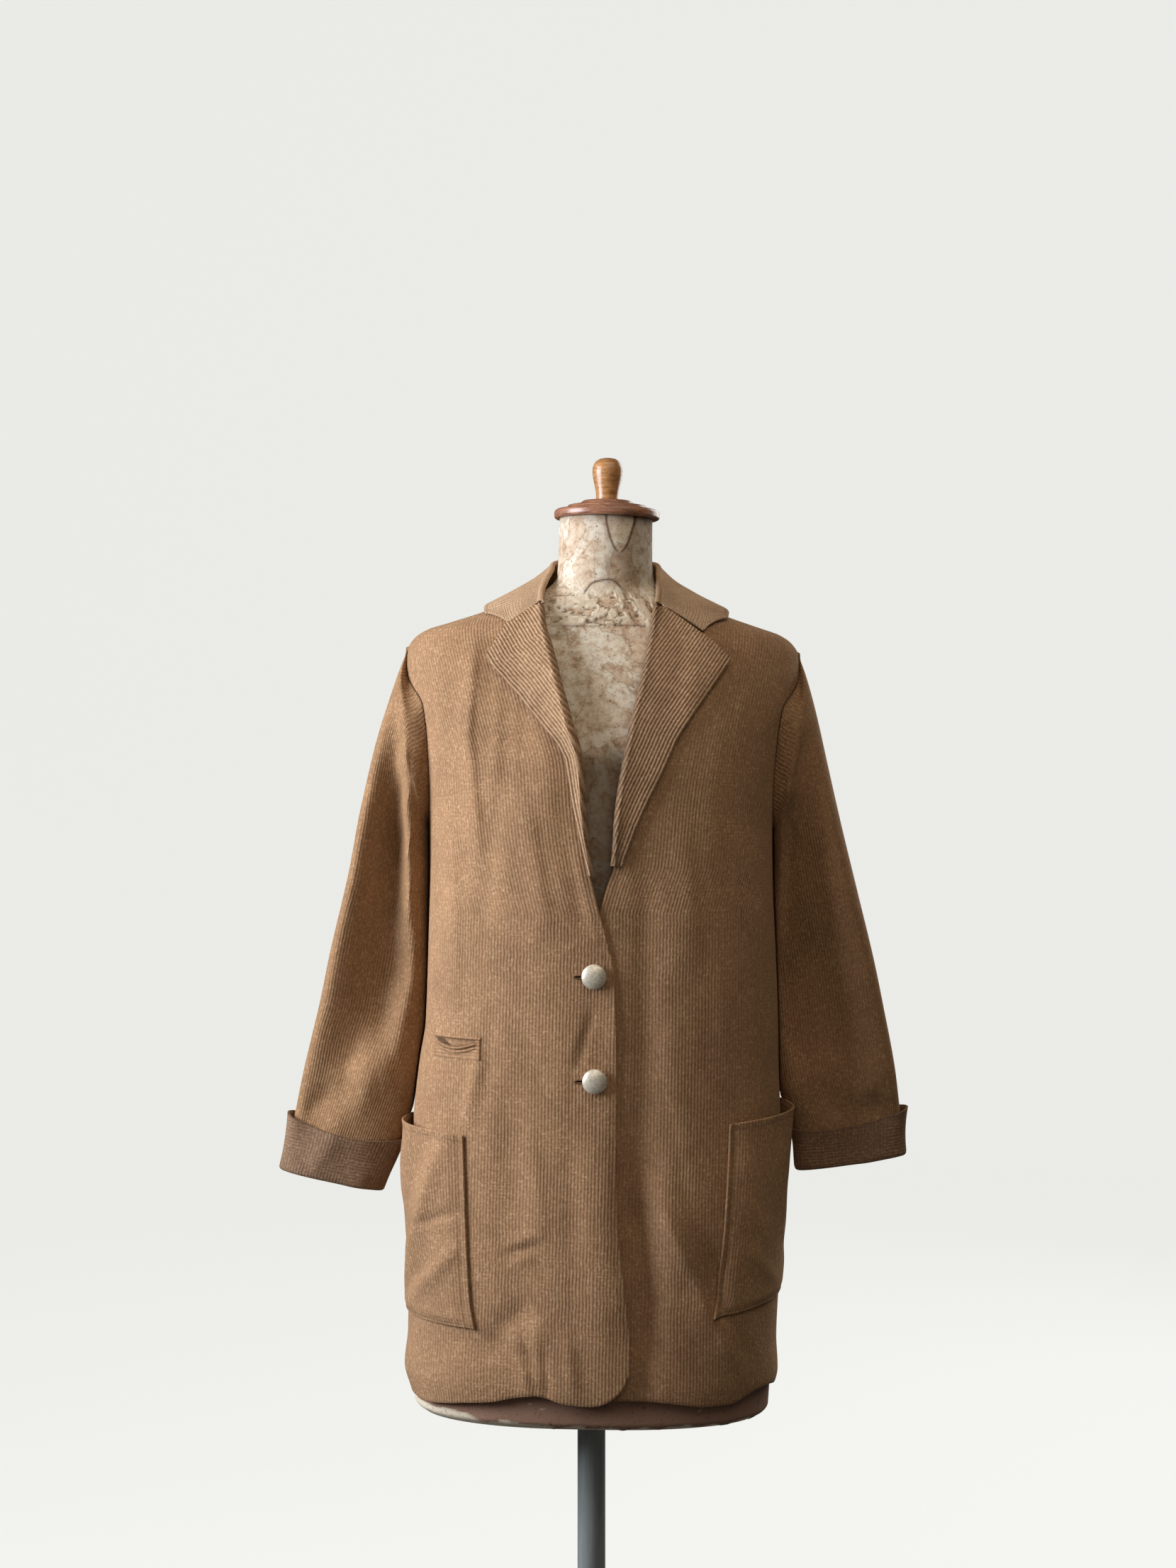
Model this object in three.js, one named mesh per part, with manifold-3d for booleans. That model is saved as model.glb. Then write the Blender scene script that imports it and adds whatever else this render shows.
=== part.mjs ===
// A knitted wool cardigan cut like a blazer, worn on an antique dress form
// without limbs, which stands on a pole in a round base.
//
// Millimetres, +Z up. The front faces -Y and +X is the right of the front view.
// The origin is the centre of the base's underside, on the pole's axis.
// The form and all that it wears lean a little on the pole, so they share one
// turned group, whose own heights are measured up from the form's underside.

import * as THREE from 'three';
import { mergeVertices } from 'three/addons/utils/BufferGeometryUtils.js';
import Module from 'manifold-3d';

const wasm = await Module();
wasm.setup();

// Driving sizes of the stand
const FORM_BOTTOM = 560;
const LEAN = 0.0155;
const POLE_RADIUS = 14.5;
const SOCKET_DEPTH = 60;
const SOCKET_PLAY = 1.3;
const BASE_RADIUS = 160;
const BASE_THICKNESS = 14;
const HUB_RADIUS = 27;
const HUB_HEIGHT = 46;
const POLE_FOOT = 6;
const SEAT_GAP = 0.3;

// Driving sizes of the cloth
const WALL = 2;
const SEAM_GAP = 0.4;
const LAID_GAP = 0.6;
const HEM_HEIGHT = 30;
const HEM_BLEND = 130;
const ARMPIT_HEIGHT = 600;
const SHOULDER_TIP = 793;
const TIP_DEPTH = 30;
const NECK_POINT = 846;
const SIDE_SEAM_ANGLE = 93;
const OVERLAP_LIFT = 3;
const OVERLAP_FROM = -80;
const OVERLAP_TO = -30;
const OVERLAP_LOW = 545;
const OVERLAP_HIGH = 600;
const CUFF_WALL = 2.6;
const FRONT_COLUMNS = 12;
const BACK_COLUMNS = 16;

// Colours of the materials
const WOOL = { color: 0x8f6c47, roughness: 0.95, metalness: 0 };
const WOOL_RIB = { color: 0x94714c, roughness: 0.95, metalness: 0 };
const PAPER = { color: 0xb7a48a, roughness: 0.85, metalness: 0 };
const TURNED_WOOD = { color: 0xa5683f, roughness: 0.4, metalness: 0 };
const BUTTON_METAL = { color: 0xbdb9ad, roughness: 0.35, metalness: 1 };
const POLE_STEEL = { color: 0x8b9192, roughness: 0.35, metalness: 1 };
const BASE_IRON = { color: 0x3b3b3a, roughness: 0.6, metalness: 0.6 };

// A table is written as column names and short rows, and read as objects.
function table(columns, rows) {
  return rows.map((row) => Object.fromEntries(columns.map((name, i) => [name, row[i]])));
}

// Half widths and depths of the cloth, one row for each level up the body.
const BODY = table(
  ['height', 'left', 'right', 'front', 'back', 'power'],
  [
    [20, 188, 186, 118, 112, 2.5],
    [45, 195, 193, 120, 114, 2.5],
    [80, 192, 191, 120, 114, 2.5],
    [150, 192, 193, 120, 113, 2.5],
    [300, 189.5, 192, 119, 104, 2.5],
    [360, 184, 189, 119, 99, 2.5],
    [400, 178.5, 188, 120, 95, 2.5],
    [480, 177, 184, 122, 93, 2.5],
    [550, 176.5, 180, 124, 95, 2.45],
    [600, 178, 179, 125, 98, 2.4],
    [650, 182, 182, 124, 101, 2.35],
    [700, 190, 190, 117, 101, 2.3],
    [735, 200, 200, 108, 98, 2.2],
    [762, 204.5, 204.5, 98, 91, 2.1],
    [785, 203.5, 203.5, 85, 82, 2.05],
    [796, 197, 197, 78, 77, 2],
    [805, 184, 184, 74, 73, 2],
    [812, 163, 163, 71, 70.5, 2],
    [824, 127, 127, 65, 66, 2],
    [836, 98, 98, 59, 62, 2],
    [848, 70, 70, 52, 58, 2],
  ],
);

// Half widths and depths of the form below its shoulders, then its neck.
const TORSO = table(
  ['height', 'half', 'front', 'back', 'power'],
  [
    [0, 178, 104, 101, 2.4],
    [8, 184, 109, 106, 2.4],
    [60, 185.5, 110, 108, 2.4],
    [130, 182, 108, 107, 2.4],
    [220, 164, 100, 98, 2.3],
    [330, 131, 86, 82, 2.2],
    [400, 133, 88, 79, 2.2],
    [500, 153, 106, 83, 2.2],
    [600, 167, 113, 90, 2.2],
    [660, 173, 111, 93, 2.2],
    [720, 187, 101, 92, 2.1],
    [762, 198, 89, 84, 2],
    [782, 196.5, 80, 76, 1.8],
  ],
);
const TORSO_LEVELS = [0, 3, 8, 60, 130, 220, 275, 330, 400, 450, 500, 560, 620, 670, 720, 762, 782];
const NECK = table(
  ['height', 'half', 'front', 'back'],
  [
    [852, 57, 48, 53],
    [862, 50.5, 48.5, 50.5],
    [880, 49, 49, 49],
    [923, 48.5, 48.5, 48.5],
  ],
);
const SHOULDERS = table(
  ['level', 'power'],
  [[796, 1.5], [805, 1.65], [812, 1.7], [824, 1.8], [836, 1.9], [846, 1.9]],
);
const SHOULDER_REST = 2.7;
const SHOULDER_CLEARANCE = 1;
const CHEST_CLEARANCE = 5;
const NECK_CENTRE = 0.8;

// The armhole, as angles round the body from the front, on its front and back.
const ARMHOLE = table(
  ['height', 'front', 'back'],
  [
    [600, 93, 93],
    [607, 85, 99],
    [622, 79.5, 104],
    [645, 76, 108],
    [675, 73, 110],
    [705, 69.5, 110],
    [727, 67.5, 108],
    [745, 75, 104],
    [757, 83, 98],
    [770, 87, 94],
    [782, 89, 91.5],
    [793, 90, 90],
  ],
);
const LOWER_ROWS = [30, 62, 100, 140, 180, 222, 262, 305, 350, 395, 440, 485, 530, 567];
const UPPER_ROWS = [803, 812, 822, 832, 840, 846];
const ROWS = [...LOWER_ROWS, ...ARMHOLE.map((row) => row.height), ...UPPER_ROWS];

// Where the inner edge of each front lies: its front edge, then its roll line.
const LEFT_EDGE = table(
  ['height', 'x'],
  [
    [30, 33], [62, 36.5], [100, 34], [150, 29.5], [206, 23], [298, 19.7], [369, 18.6],
    [440, 16], [464, 14], [485, 9], [534, -4.5], [578, -14.3], [618, -20], [665, -24],
    [706, -36], [757, -50.5], [806, -63], [846, -66],
  ],
);
const RIGHT_EDGE = table(
  ['height', 'x'],
  [
    [30, -38], [100, -36], [206, -28], [298, -26], [440, -23], [463, -21], [490, -12],
    [517, -1], [545, 7], [567, 14], [627, 19], [685, 28], [761, 43.5], [803, 50.5],
    [832, 54], [846, 62],
  ],
);

// The hem's height round the body, by the angle from the front.
const LEFT_HEM = table(
  ['angle', 'height'],
  [[-20, 52], [-13, 38], [-5, 29], [5, 30], [12, 38], [20, 35], [35, 31], [50, 26], [75, 22], [93, 26]],
);
const RIGHT_HEM = table(
  ['angle', 'height'],
  [[-20, 34], [10, 35], [30, 34], [42, 25], [52, 22], [64, 27], [80, 32], [93, 34]],
);
const BACK_HEM = table(
  ['angle', 'height'],
  [[-180, 26], [-130, 33], [-93, 26], [93, 34], [120, 26], [150, 32], [180, 26]],
);

// The largest folds: soft ridges, and troughs with a height below zero. Each
// dies away over this share of its length at both ends.
const FOLD_TAPER = 0.35;
const FRONT_FOLDS = table(
  ['fromX', 'fromHeight', 'toX', 'toHeight', 'width', 'height'],
  [
    [-168, 780, -160, 560, 12, 3.5],
    [-160, 560, -158, 410, 14, 3],
    [-118, 770, -112, 620, 13, 2.5],
    [-117, 385, -134, 300, 9, 4],
    [-58, 120, -42, 40, 12, 3.5],
    [-160, 95, -95, 70, 10, -2.5],
    [148, 520, 165, 320, 13, 4],
    [120, 740, 112, 560, 16, 2.5],
    [45, 560, 50, 80, 12, -3],
    [53, 250, 108, 150, 15, 5],
    [108, 150, 158, 50, 13, 6],
    [118, 190, 128, 95, 10, -4],
  ],
);
const BACK_FOLDS = table(
  ['fromX', 'fromHeight', 'toX', 'toHeight', 'width', 'height'],
  [
    [-120, 700, -95, 420, 17, 4],
    [-95, 420, -105, 60, 20, 4],
    [-45, 520, -38, 70, 16, -3],
    [15, 430, 22, 40, 20, 4.5],
    [70, 560, 76, 60, 16, -3],
    [125, 690, 102, 430, 16, 3.5],
    [102, 430, 122, 60, 18, 4],
  ],
);

// The outer edge of each lapel: up its free edge to the tip, back along its top
// edge to the notch, and along the gorge seam to the roll line.
const LEFT_LAPEL = table(
  ['height', 'x'],
  [
    [622, -30], [640, -32], [670, -36.5], [684, -43.5], [706, -61], [731, -81.5], [756, -105],
    [771, -117], [789, -108], [807, -98.5], [817, -83.5], [826, -69.5],
  ],
);
const RIGHT_LAPEL = table(
  ['height', 'x'],
  [
    [566, 22], [574, 24], [604, 34.5], [632, 46.5], [657, 58.5], [689, 72.5], [720, 91],
    [748, 110.5], [773, 127.5], [786, 114], [797, 101.5], [812.5, 79.5], [826, 60],
  ],
);
const LAPEL_COLUMNS = 5;
const LAPEL_ROW_SPACE = 5;
const LAPEL_ROLL = 2.2;
const LAPEL_ROLL_SHARE = 0.35;

// The collar at stations from one front end round the back to the other: the
// seam at the stand's foot, the fold on top, and the free edge of the fall.
const COLLAR = table(
  ['seamX', 'seamY', 'seamH', 'foldX', 'foldY', 'foldH', 'edgeX', 'edgeY', 'edgeH'],
  [
    [-62.5, -54, 829, -64.6, -56, 834, -123, -37, 822],
    [-64, -46, 838, -64.5, -43, 846, -124, -22, 829],
    [-69, -22, 847.5, -61, -22, 859, -119, -4, 834.5],
    [-70, 2, 848, -56, -2, 871, -110, 20, 836],
    [-66, 22, 848, -53, 17, 880, -93, 46, 832],
    [-49, 42, 848, -41, 41, 884, -64, 65, 827],
    [-25, 54, 848, -20, 54, 886, -31, 73, 824],
    [0, 58.5, 848, 0, 59, 887, 0, 76, 823],
    [25, 54, 848, 20, 54, 886, 31, 73, 824],
    [49, 42, 848, 42.5, 41, 884, 64, 65, 827],
    [66, 22, 848, 55.5, 17, 880, 94, 46, 832],
    [70, 2, 848, 57, -2, 870, 112, 20, 836],
    [68, -22, 847.5, 56.5, -24, 858, 122, -4, 834.5],
    [60, -46, 840, 56, -46, 844.5, 129, -22, 828.5],
    [52, -55, 829, 54.5, -58, 834, 128, -38, 820],
  ],
);
const COLLAR_FOLD_RADIUS = 3.6;
const COLLAR_FOLD_DROP = 2.88;
const COLLAR_CROWN = 2.5;
const COLLAR_LIFT = 3.3;
const COLLAR_FALL_STEPS = 5;
const NOTCH = table(
  ['x', 'y', 'height'],
  [
    [-99, -52, 813],
    [102, -55, 803],
  ],
);

// The sleeves at rings below the armhole. Each ring has an outer and an inner
// end, the middle, front and back of its depth, and the trough down its front.
const SLEEVE_COLUMNS = [
  'outerX', 'outerH', 'innerX', 'innerH', 'middle', 'front', 'back', 'crease', 'trough',
];
const LEFT_SLEEVE = table(SLEEVE_COLUMNS, [
  [212, 762, 180.5, 596, 0, 52, 52, 0.8, 2],
  [222, 730, 181, 588, 0, 56, 54, 0.35, 7],
  [236, 682, 181.5, 577, -1, 60, 56, 0, 13],
  [250, 615, 181.5, 560, -3, 61, 57, -0.2, 16],
  [262, 548, 181, 520, -5, 57, 54, -0.26, 16],
  [277, 475, 181, 452, -7, 46, 45, -0.3, 14],
  [288, 418, 182.5, 394, -4, 38, 37, -0.28, 12],
  [301, 358, 189.5, 334, 0, 30, 29, -0.18, 8],
  [311, 303, 204, 280, 4, 23, 22, 0.3, 3],
  [323, 251, 217, 230, 5, 20, 20, 0.5, 0],
]);
const RIGHT_SLEEVE = table(SLEEVE_COLUMNS, [
  [212, 762, 181.5, 596, 0, 52, 52, 0.7, 2],
  [221, 730, 182.5, 588, 0, 56, 54, 0, 6],
  [233, 682, 183, 577, -1, 60, 56, -0.3, 11],
  [249, 615, 183.5, 560, -3, 61, 57, -0.45, 13],
  [266, 548, 184.5, 520, -5, 57, 54, -0.55, 12],
  [285, 475, 189.5, 452, -7, 46, 45, -0.62, 10],
  [298, 418, 191.5, 394, -4, 38, 37, -0.6, 8],
  [310, 362, 194, 338, 0, 30, 29, -0.4, 6],
  [317, 315, 209.5, 292, 4, 23, 22, 0, 3],
  [323, 268, 211, 250, 5, 20, 20, 0.5, 0],
]);
const SLEEVE_POWER = 2.3;
const BACK_TROUGH_SHARE = 0.5;
const TROUGH_INNER = 0.45;
const TROUGH_OUTER_END = 0.9;
const TROUGH_OUTER_LEAST = 0.2;
const CUFF_TOP_RING = 9;
const CUFF_ROWS = 3;
const CUFF_FLARE = 0.6;

// The patch pockets: each front edge, foot and mouth on its front.
const LEFT_POCKET = {
  edge: [[98, -117], [128, -122.5], [200, -127.5], [294, -132]],
  foot: [100, 104],
  mouth: [293, 301],
  gape: 8.5,
};
const RIGHT_POCKET = {
  edge: [[113, 119], [193, 127.5], [280, 131.5], [307, 132]],
  foot: [114, 133],
  mouth: [308, 322],
  gape: 11,
};
const POCKET_ROW_SPACE = 5;
const POCKET_COLUMN_SPACE = 0.4;
const POCKET_SEAM_SPACE = 0.03;
const POCKET_GAP = 0.95;
const POCKET_BELLY = 0.68;
const POCKET_SEAM_END = 1.02;
const POCKET_FLARE = 1.6;
const TICKET_POCKET = { fromX: -164.5, toX: -119, top: 385.5, foot: 374, gape: 3.5, sag: 3.5 };
const TICKET_COLUMNS = 6;

// The buttons on the edge that laps over
const BUTTONS = table(
  ['name', 'x', 'height'],
  [
    ['button_upper', -4.7, 455.8],
    ['button_lower', -2.4, 351.7],
  ],
);
const BUTTON_PROFILE = [
  [0, 0], [4, 0], [4.4, 2.2], [11.6, 2.6], [12.5, 3.5], [12, 4.6], [8.4, 6.6], [4.3, 7.6], [0, 7.9],
];

// The turned cap and knob on the neck, as radius and height up from the neck
const CAP_PROFILE = [
  [0, 0], [53, 0], [54.8, 2.2], [54.6, 5], [52, 8], [47, 9.6], [42.6, 9.8], [42, 12.2],
  [39.5, 14], [28.2, 14.4], [27.4, 17.6], [25, 19], [0, 19],
];
const KNOB_PROFILE = [
  [0, 0], [11.9, 0], [11.7, 3], [12.6, 12], [14.6, 22], [15.8, 31], [14.6, 38], [10.6, 42.6],
  [5, 44.4], [0, 44.6],
];
const TURNED_OFFSET = 1;

// How finely the round pieces are cut
const FORM_SEGMENTS = 28;
const KNOB_SEGMENTS = 20;
const BUTTON_SEGMENTS = 16;
const STAND_SEGMENTS = 32;

// Reading a column at any height: a smooth curve through the rows with no overshoot
function reader(rows, key, column) {
  const at = rows.map((row) => row[key]);
  const value = rows.map((row) => row[column]);
  const rise = at.slice(1).map((next, i) => (value[i + 1] - value[i]) / (next - at[i]));
  const slope = value.map((_, i) => {
    const before = rise[Math.max(i - 1, 0)];
    const after = rise[Math.min(i, rise.length - 1)];
    return before * after <= 0 ? 0 : (2 * before * after) / (before + after);
  });
  return (t) => {
    const clamped = THREE.MathUtils.clamp(t, at[0], at[at.length - 1]);
    let i = 0;
    while (i < rise.length - 1 && clamped > at[i + 1]) i += 1;
    const span = at[i + 1] - at[i];
    const u = (clamped - at[i]) / span;
    const ease = u * u * (3 - 2 * u);
    const bend = (slope[i] * (1 - u) - slope[i + 1] * u) * u * (1 - u) * span;
    return value[i] + (value[i + 1] - value[i]) * ease + bend;
  };
}

function readers(rows, key) {
  const columns = Object.keys(rows[0]).filter((name) => name !== key);
  return Object.fromEntries(columns.map((name) => [name, reader(rows, key, name)]));
}

const body = readers(BODY, 'height');
const torso = readers(TORSO, 'height');
const armhole = readers(ARMHOLE, 'height');
const leftEdge = reader(LEFT_EDGE, 'height', 'x');
const rightEdge = reader(RIGHT_EDGE, 'height', 'x');
const leftHem = reader(LEFT_HEM, 'angle', 'height');
const rightHem = reader(RIGHT_HEM, 'angle', 'height');
const backHem = reader(BACK_HEM, 'angle', 'height');

function smoothstep(value, low, high) {
  return THREE.MathUtils.smoothstep(value, low, high);
}

// A rounded oval: x and y at an angle from the front, for its half sizes
function oval(angle, half, depth, power) {
  const turn = THREE.MathUtils.degToRad(angle);
  const x = Math.sign(Math.sin(turn)) * half * Math.abs(Math.sin(turn)) ** (2 / power);
  const y = -Math.sign(Math.cos(turn)) * depth * Math.abs(Math.cos(turn)) ** (2 / power);
  return [x, y];
}

// How far the folds lift the cloth at a place on the front or the back
function foldLift(folds, x, height) {
  let lift = 0;
  for (const fold of folds) {
    const runX = fold.toX - fold.fromX;
    const runH = fold.toHeight - fold.fromHeight;
    const length = Math.hypot(runX, runH);
    const along = ((x - fold.fromX) * runX + (height - fold.fromHeight) * runH) / length;
    const across = ((x - fold.fromX) * runH - (height - fold.fromHeight) * runX) / length;
    const taper = FOLD_TAPER * length;
    const rising = smoothstep(along, -taper / 2, taper);
    const falling = 1 - smoothstep(along, length - taper, length + taper / 2);
    lift += fold.height * rising * falling * Math.exp(-((across / fold.width) ** 2));
  }
  return lift;
}

// A point of the body's cloth, at an angle from the front and a height
function clothPoint(angle, height) {
  const half = Math.sin(THREE.MathUtils.degToRad(angle)) < 0 ? body.left(height) : body.right(height);
  const facesFront = Math.cos(THREE.MathUtils.degToRad(angle)) > 0;
  const depth = facesFront ? body.front(height) : body.back(height);
  const [x, y] = oval(angle, half, depth, body.power(height));
  const lift = foldLift(facesFront ? FRONT_FOLDS : BACK_FOLDS, x, height);
  return new THREE.Vector3(x, y - lift * Math.cos(THREE.MathUtils.degToRad(angle)), height);
}

function angleAt(x, height) {
  const half = x < 0 ? body.left(height) : body.right(height);
  const share = Math.min(Math.abs(x) / half, 1);
  return Math.sign(x) * THREE.MathUtils.radToDeg(Math.asin(share ** (body.power(height) / 2)));
}

// Angles between two limits, an equal length of cloth apart
function evenAngles(height, from, to, count) {
  const samples = 72;
  const angles = Array.from({ length: samples + 1 }, (_, i) => from + ((to - from) * i) / samples);
  const points = angles.map((angle) => clothPoint(angle, height));
  const run = [0];
  for (let i = 1; i <= samples; i += 1) {
    run.push(run[i - 1] + points[i].distanceTo(points[i - 1]));
  }
  return Array.from({ length: count + 1 }, (_, k) => {
    const goal = (run[samples] * k) / count;
    let i = 0;
    while (i < samples - 1 && run[i + 1] < goal) i += 1;
    const part = (goal - run[i]) / (run[i + 1] - run[i]);
    return angles[i] + (angles[i + 1] - angles[i]) * part;
  });
}

// Vertex normals of a grid of points, out from the side that its turn gives
function gridNormals(grid, wrap, side) {
  const rows = grid.length;
  const columns = grid[0].length;
  const normals = grid.map((row) => row.map(() => new THREE.Vector3()));
  const lastColumn = wrap ? columns : columns - 1;
  for (let r = 0; r < rows - 1; r += 1) {
    for (let c = 0; c < lastColumn; c += 1) {
      const corners = [[r, c], [r, (c + 1) % columns], [r + 1, (c + 1) % columns], [r + 1, c]];
      const [a, b, d, e] = corners.map(([i, j]) => grid[i][j]);
      const normal = new THREE.Vector3().crossVectors(
        new THREE.Vector3().subVectors(d, a),
        new THREE.Vector3().subVectors(e, b),
      );
      normal.normalize().multiplyScalar(side);
      for (const [i, j] of corners) normals[i][j].add(normal);
    }
  }
  for (const row of normals) for (const normal of row) normal.normalize();
  return normals;
}

function makePanel(grid, wrap, side) {
  return { grid, wrap, normals: gridNormals(grid, wrap, side) };
}

// A closed wall whose outer face is the panel's grid
function wallGeometry(panel, thickness) {
  const { grid, normals, wrap } = panel;
  const rows = grid.length;
  const columns = grid[0].length;
  const positions = [];
  for (const row of grid) for (const point of row) positions.push(point.x, point.y, point.z);
  grid.forEach((row, r) => row.forEach((point, c) => {
    const inner = point.clone().addScaledVector(normals[r][c], -thickness);
    positions.push(inner.x, inner.y, inner.z);
  }));
  const outer = (r, c) => r * columns + (c % columns);
  const inner = (r, c) => rows * columns + outer(r, c);
  const index = [];
  const quad = (a, b, c, d) => index.push(a, b, c, a, c, d);
  const lastColumn = wrap ? columns : columns - 1;
  for (let r = 0; r < rows - 1; r += 1) {
    for (let c = 0; c < lastColumn; c += 1) {
      quad(outer(r, c), outer(r, c + 1), outer(r + 1, c + 1), outer(r + 1, c));
      quad(inner(r, c), inner(r + 1, c), inner(r + 1, c + 1), inner(r, c + 1));
    }
  }
  for (let c = 0; c < lastColumn; c += 1) {
    quad(outer(0, c + 1), outer(0, c), inner(0, c), inner(0, c + 1));
    quad(outer(rows - 1, c), outer(rows - 1, c + 1), inner(rows - 1, c + 1), inner(rows - 1, c));
  }
  if (!wrap) {
    for (let r = 0; r < rows - 1; r += 1) {
      quad(outer(r, 0), outer(r + 1, 0), inner(r + 1, 0), inner(r, 0));
      const end = columns - 1;
      quad(outer(r + 1, end), outer(r, end), inner(r, end), inner(r + 1, end));
    }
  }
  return closedGeometry(positions, index);
}

// A geometry from corners and triangles, with its faces turned to point out
function closedGeometry(positions, index) {
  let volume = 0;
  const corner = (i) => new THREE.Vector3(positions[3 * i], positions[3 * i + 1], positions[3 * i + 2]);
  for (let i = 0; i < index.length; i += 3) {
    volume += corner(index[i]).dot(corner(index[i + 1]).cross(corner(index[i + 2])));
  }
  const facing = volume < 0 ? turnedOver(index) : index;
  const geometry = new THREE.BufferGeometry();
  geometry.setAttribute('position', new THREE.Float32BufferAttribute(positions, 3));
  geometry.setIndex(facing);
  geometry.computeVertexNormals();
  return geometry;
}

function turnedOver(index) {
  const turned = [];
  for (let i = 0; i < index.length; i += 3) turned.push(index[i], index[i + 2], index[i + 1]);
  return turned;
}

// A point at a fractional row and column of a panel, moved out from its face
function onPanel(panel, row, column, distance) {
  const { grid, normals } = panel;
  const columns = grid[0].length;
  const r = Math.min(Math.floor(row), grid.length - 2);
  const c = Math.min(Math.floor(column), panel.wrap ? columns - 1 : columns - 2);
  const next = (c + 1) % columns;
  const mix = (field) => {
    const low = field[r][c].clone().lerp(field[r][next], column - c);
    const high = field[r + 1][c].clone().lerp(field[r + 1][next], column - c);
    return low.lerp(high, row - r);
  };
  return mix(grid).addScaledVector(mix(normals).normalize(), distance);
}

// The fractional row and column where a front panel has a given height and x
function placeOn(panel, height, x) {
  let row = 0;
  let column = 0;
  for (let pass = 0; pass < 4; pass += 1) {
    row = crossing(panel.grid.length, (i) => onPanel(panel, i, column, 0).z, height);
    const start = onPanel(panel, row, 0, 0).x;
    const span = (i) => Math.abs(onPanel(panel, row, i, 0).x - start);
    column = crossing(panel.grid[0].length, span, Math.abs(x - start));
  }
  return [row, column];
}

function crossing(count, valueAt, goal) {
  for (let i = 0; i < count - 1; i += 1) {
    const low = valueAt(i);
    const high = valueAt(i + 1);
    if (goal <= high) return i + THREE.MathUtils.clamp((goal - low) / (high - low), 0, 1);
  }
  return count - 1;
}

// The height of a panel's row at an angle: level, but near the hem it follows it
function rowHeight(level, hem) {
  return level + (hem - HEM_HEIGHT) * (1 - smoothstep(level, HEM_HEIGHT, HEM_HEIGHT + HEM_BLEND));
}

// The angle of a panel's outer edge: side seam, armhole, then shoulder seam
function outerAngle(level, armholeAt) {
  if (level < ARMPIT_HEIGHT) return SIDE_SEAM_ANGLE;
  return level < SHOULDER_TIP ? armholeAt(level) : 90;
}

// How far the front that laps over is lifted clear of the front below it
function overlapShare(x, level) {
  return smoothstep(x, OVERLAP_FROM, OVERLAP_TO) * (1 - smoothstep(level, OVERLAP_LOW, OVERLAP_HIGH));
}

// One front, from its inner edge round to its side seam, armhole and shoulder seam
function frontPanel(side, edgeAt, hemAt, laps) {
  const grid = ROWS.map((level) => {
    const outer = side * outerAngle(level, armhole.front);
    const angles = evenAngles(level, angleAt(edgeAt(level), level), outer, FRONT_COLUMNS);
    return angles.map((angle, c) => {
      const point = clothPoint(angle, rowHeight(level, hemAt(side * angle)));
      if (c === FRONT_COLUMNS) point.y -= SEAM_GAP / 2;
      if (laps) point.y -= OVERLAP_LIFT * overlapShare(side * -point.x, level);
      return point;
    });
  });
  return squareSeams(makePanel(grid, false, side), [FRONT_COLUMNS]);
}

// Seams across which two panels meet have their end faces square to the front
function squareSeams(panel, seamColumns) {
  ROWS.forEach((level, r) => {
    if (level > ARMPIT_HEIGHT && level < SHOULDER_TIP - TIP_DEPTH) return;
    for (const column of seamColumns) panel.normals[r][column].setY(0).normalize();
  });
  return panel;
}

function backPanel() {
  const grid = ROWS.map((level) => {
    const limit = outerAngle(level, armhole.back);
    return evenAngles(level, limit, 360 - limit, BACK_COLUMNS).map((angle, c) => {
      const signed = angle > 180 ? angle - 360 : angle;
      const point = clothPoint(angle, rowHeight(level, backHem(signed)));
      if (c === 0 || c === BACK_COLUMNS) point.y += SEAM_GAP / 2;
      return point;
    });
  });
  return squareSeams(makePanel(grid, false, 1), [0, BACK_COLUMNS]);
}

// Reading a table along straight lines, for outlines with true corners
function straightReader(rows, height) {
  const i = Math.max(rows.findIndex((row) => row.height >= height), 1);
  const part = (height - rows[i - 1].height) / (rows[i].height - rows[i - 1].height);
  return THREE.MathUtils.lerp(rows[i - 1].x, rows[i].x, part);
}

// A lapel: the top of a front, turned back to lie on it
function lapelPanel(front, side, outline) {
  const foot = outline[0].height;
  const top = outline[outline.length - 1].height;
  const corners = outline.map((row) => row.height);
  const between = ROWS.filter((level) => level > foot && level < top
    && corners.every((corner) => Math.abs(corner - level) > LAPEL_ROW_SPACE));
  const heights = [...corners, ...between].sort((a, b) => a - b);
  const grid = heights.map((height) => {
    const [row, outerColumn] = placeOn(front, height, straightReader(outline, height));
    return Array.from({ length: LAPEL_COLUMNS + 1 }, (_, c) => {
      const share = c / LAPEL_COLUMNS;
      const roll = LAPEL_ROLL * Math.exp(-((share / LAPEL_ROLL_SHARE) ** 2));
      return onPanel(front, row, outerColumn * share, LAID_GAP + WALL + roll);
    });
  });
  return makePanel(grid, false, side);
}

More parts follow.
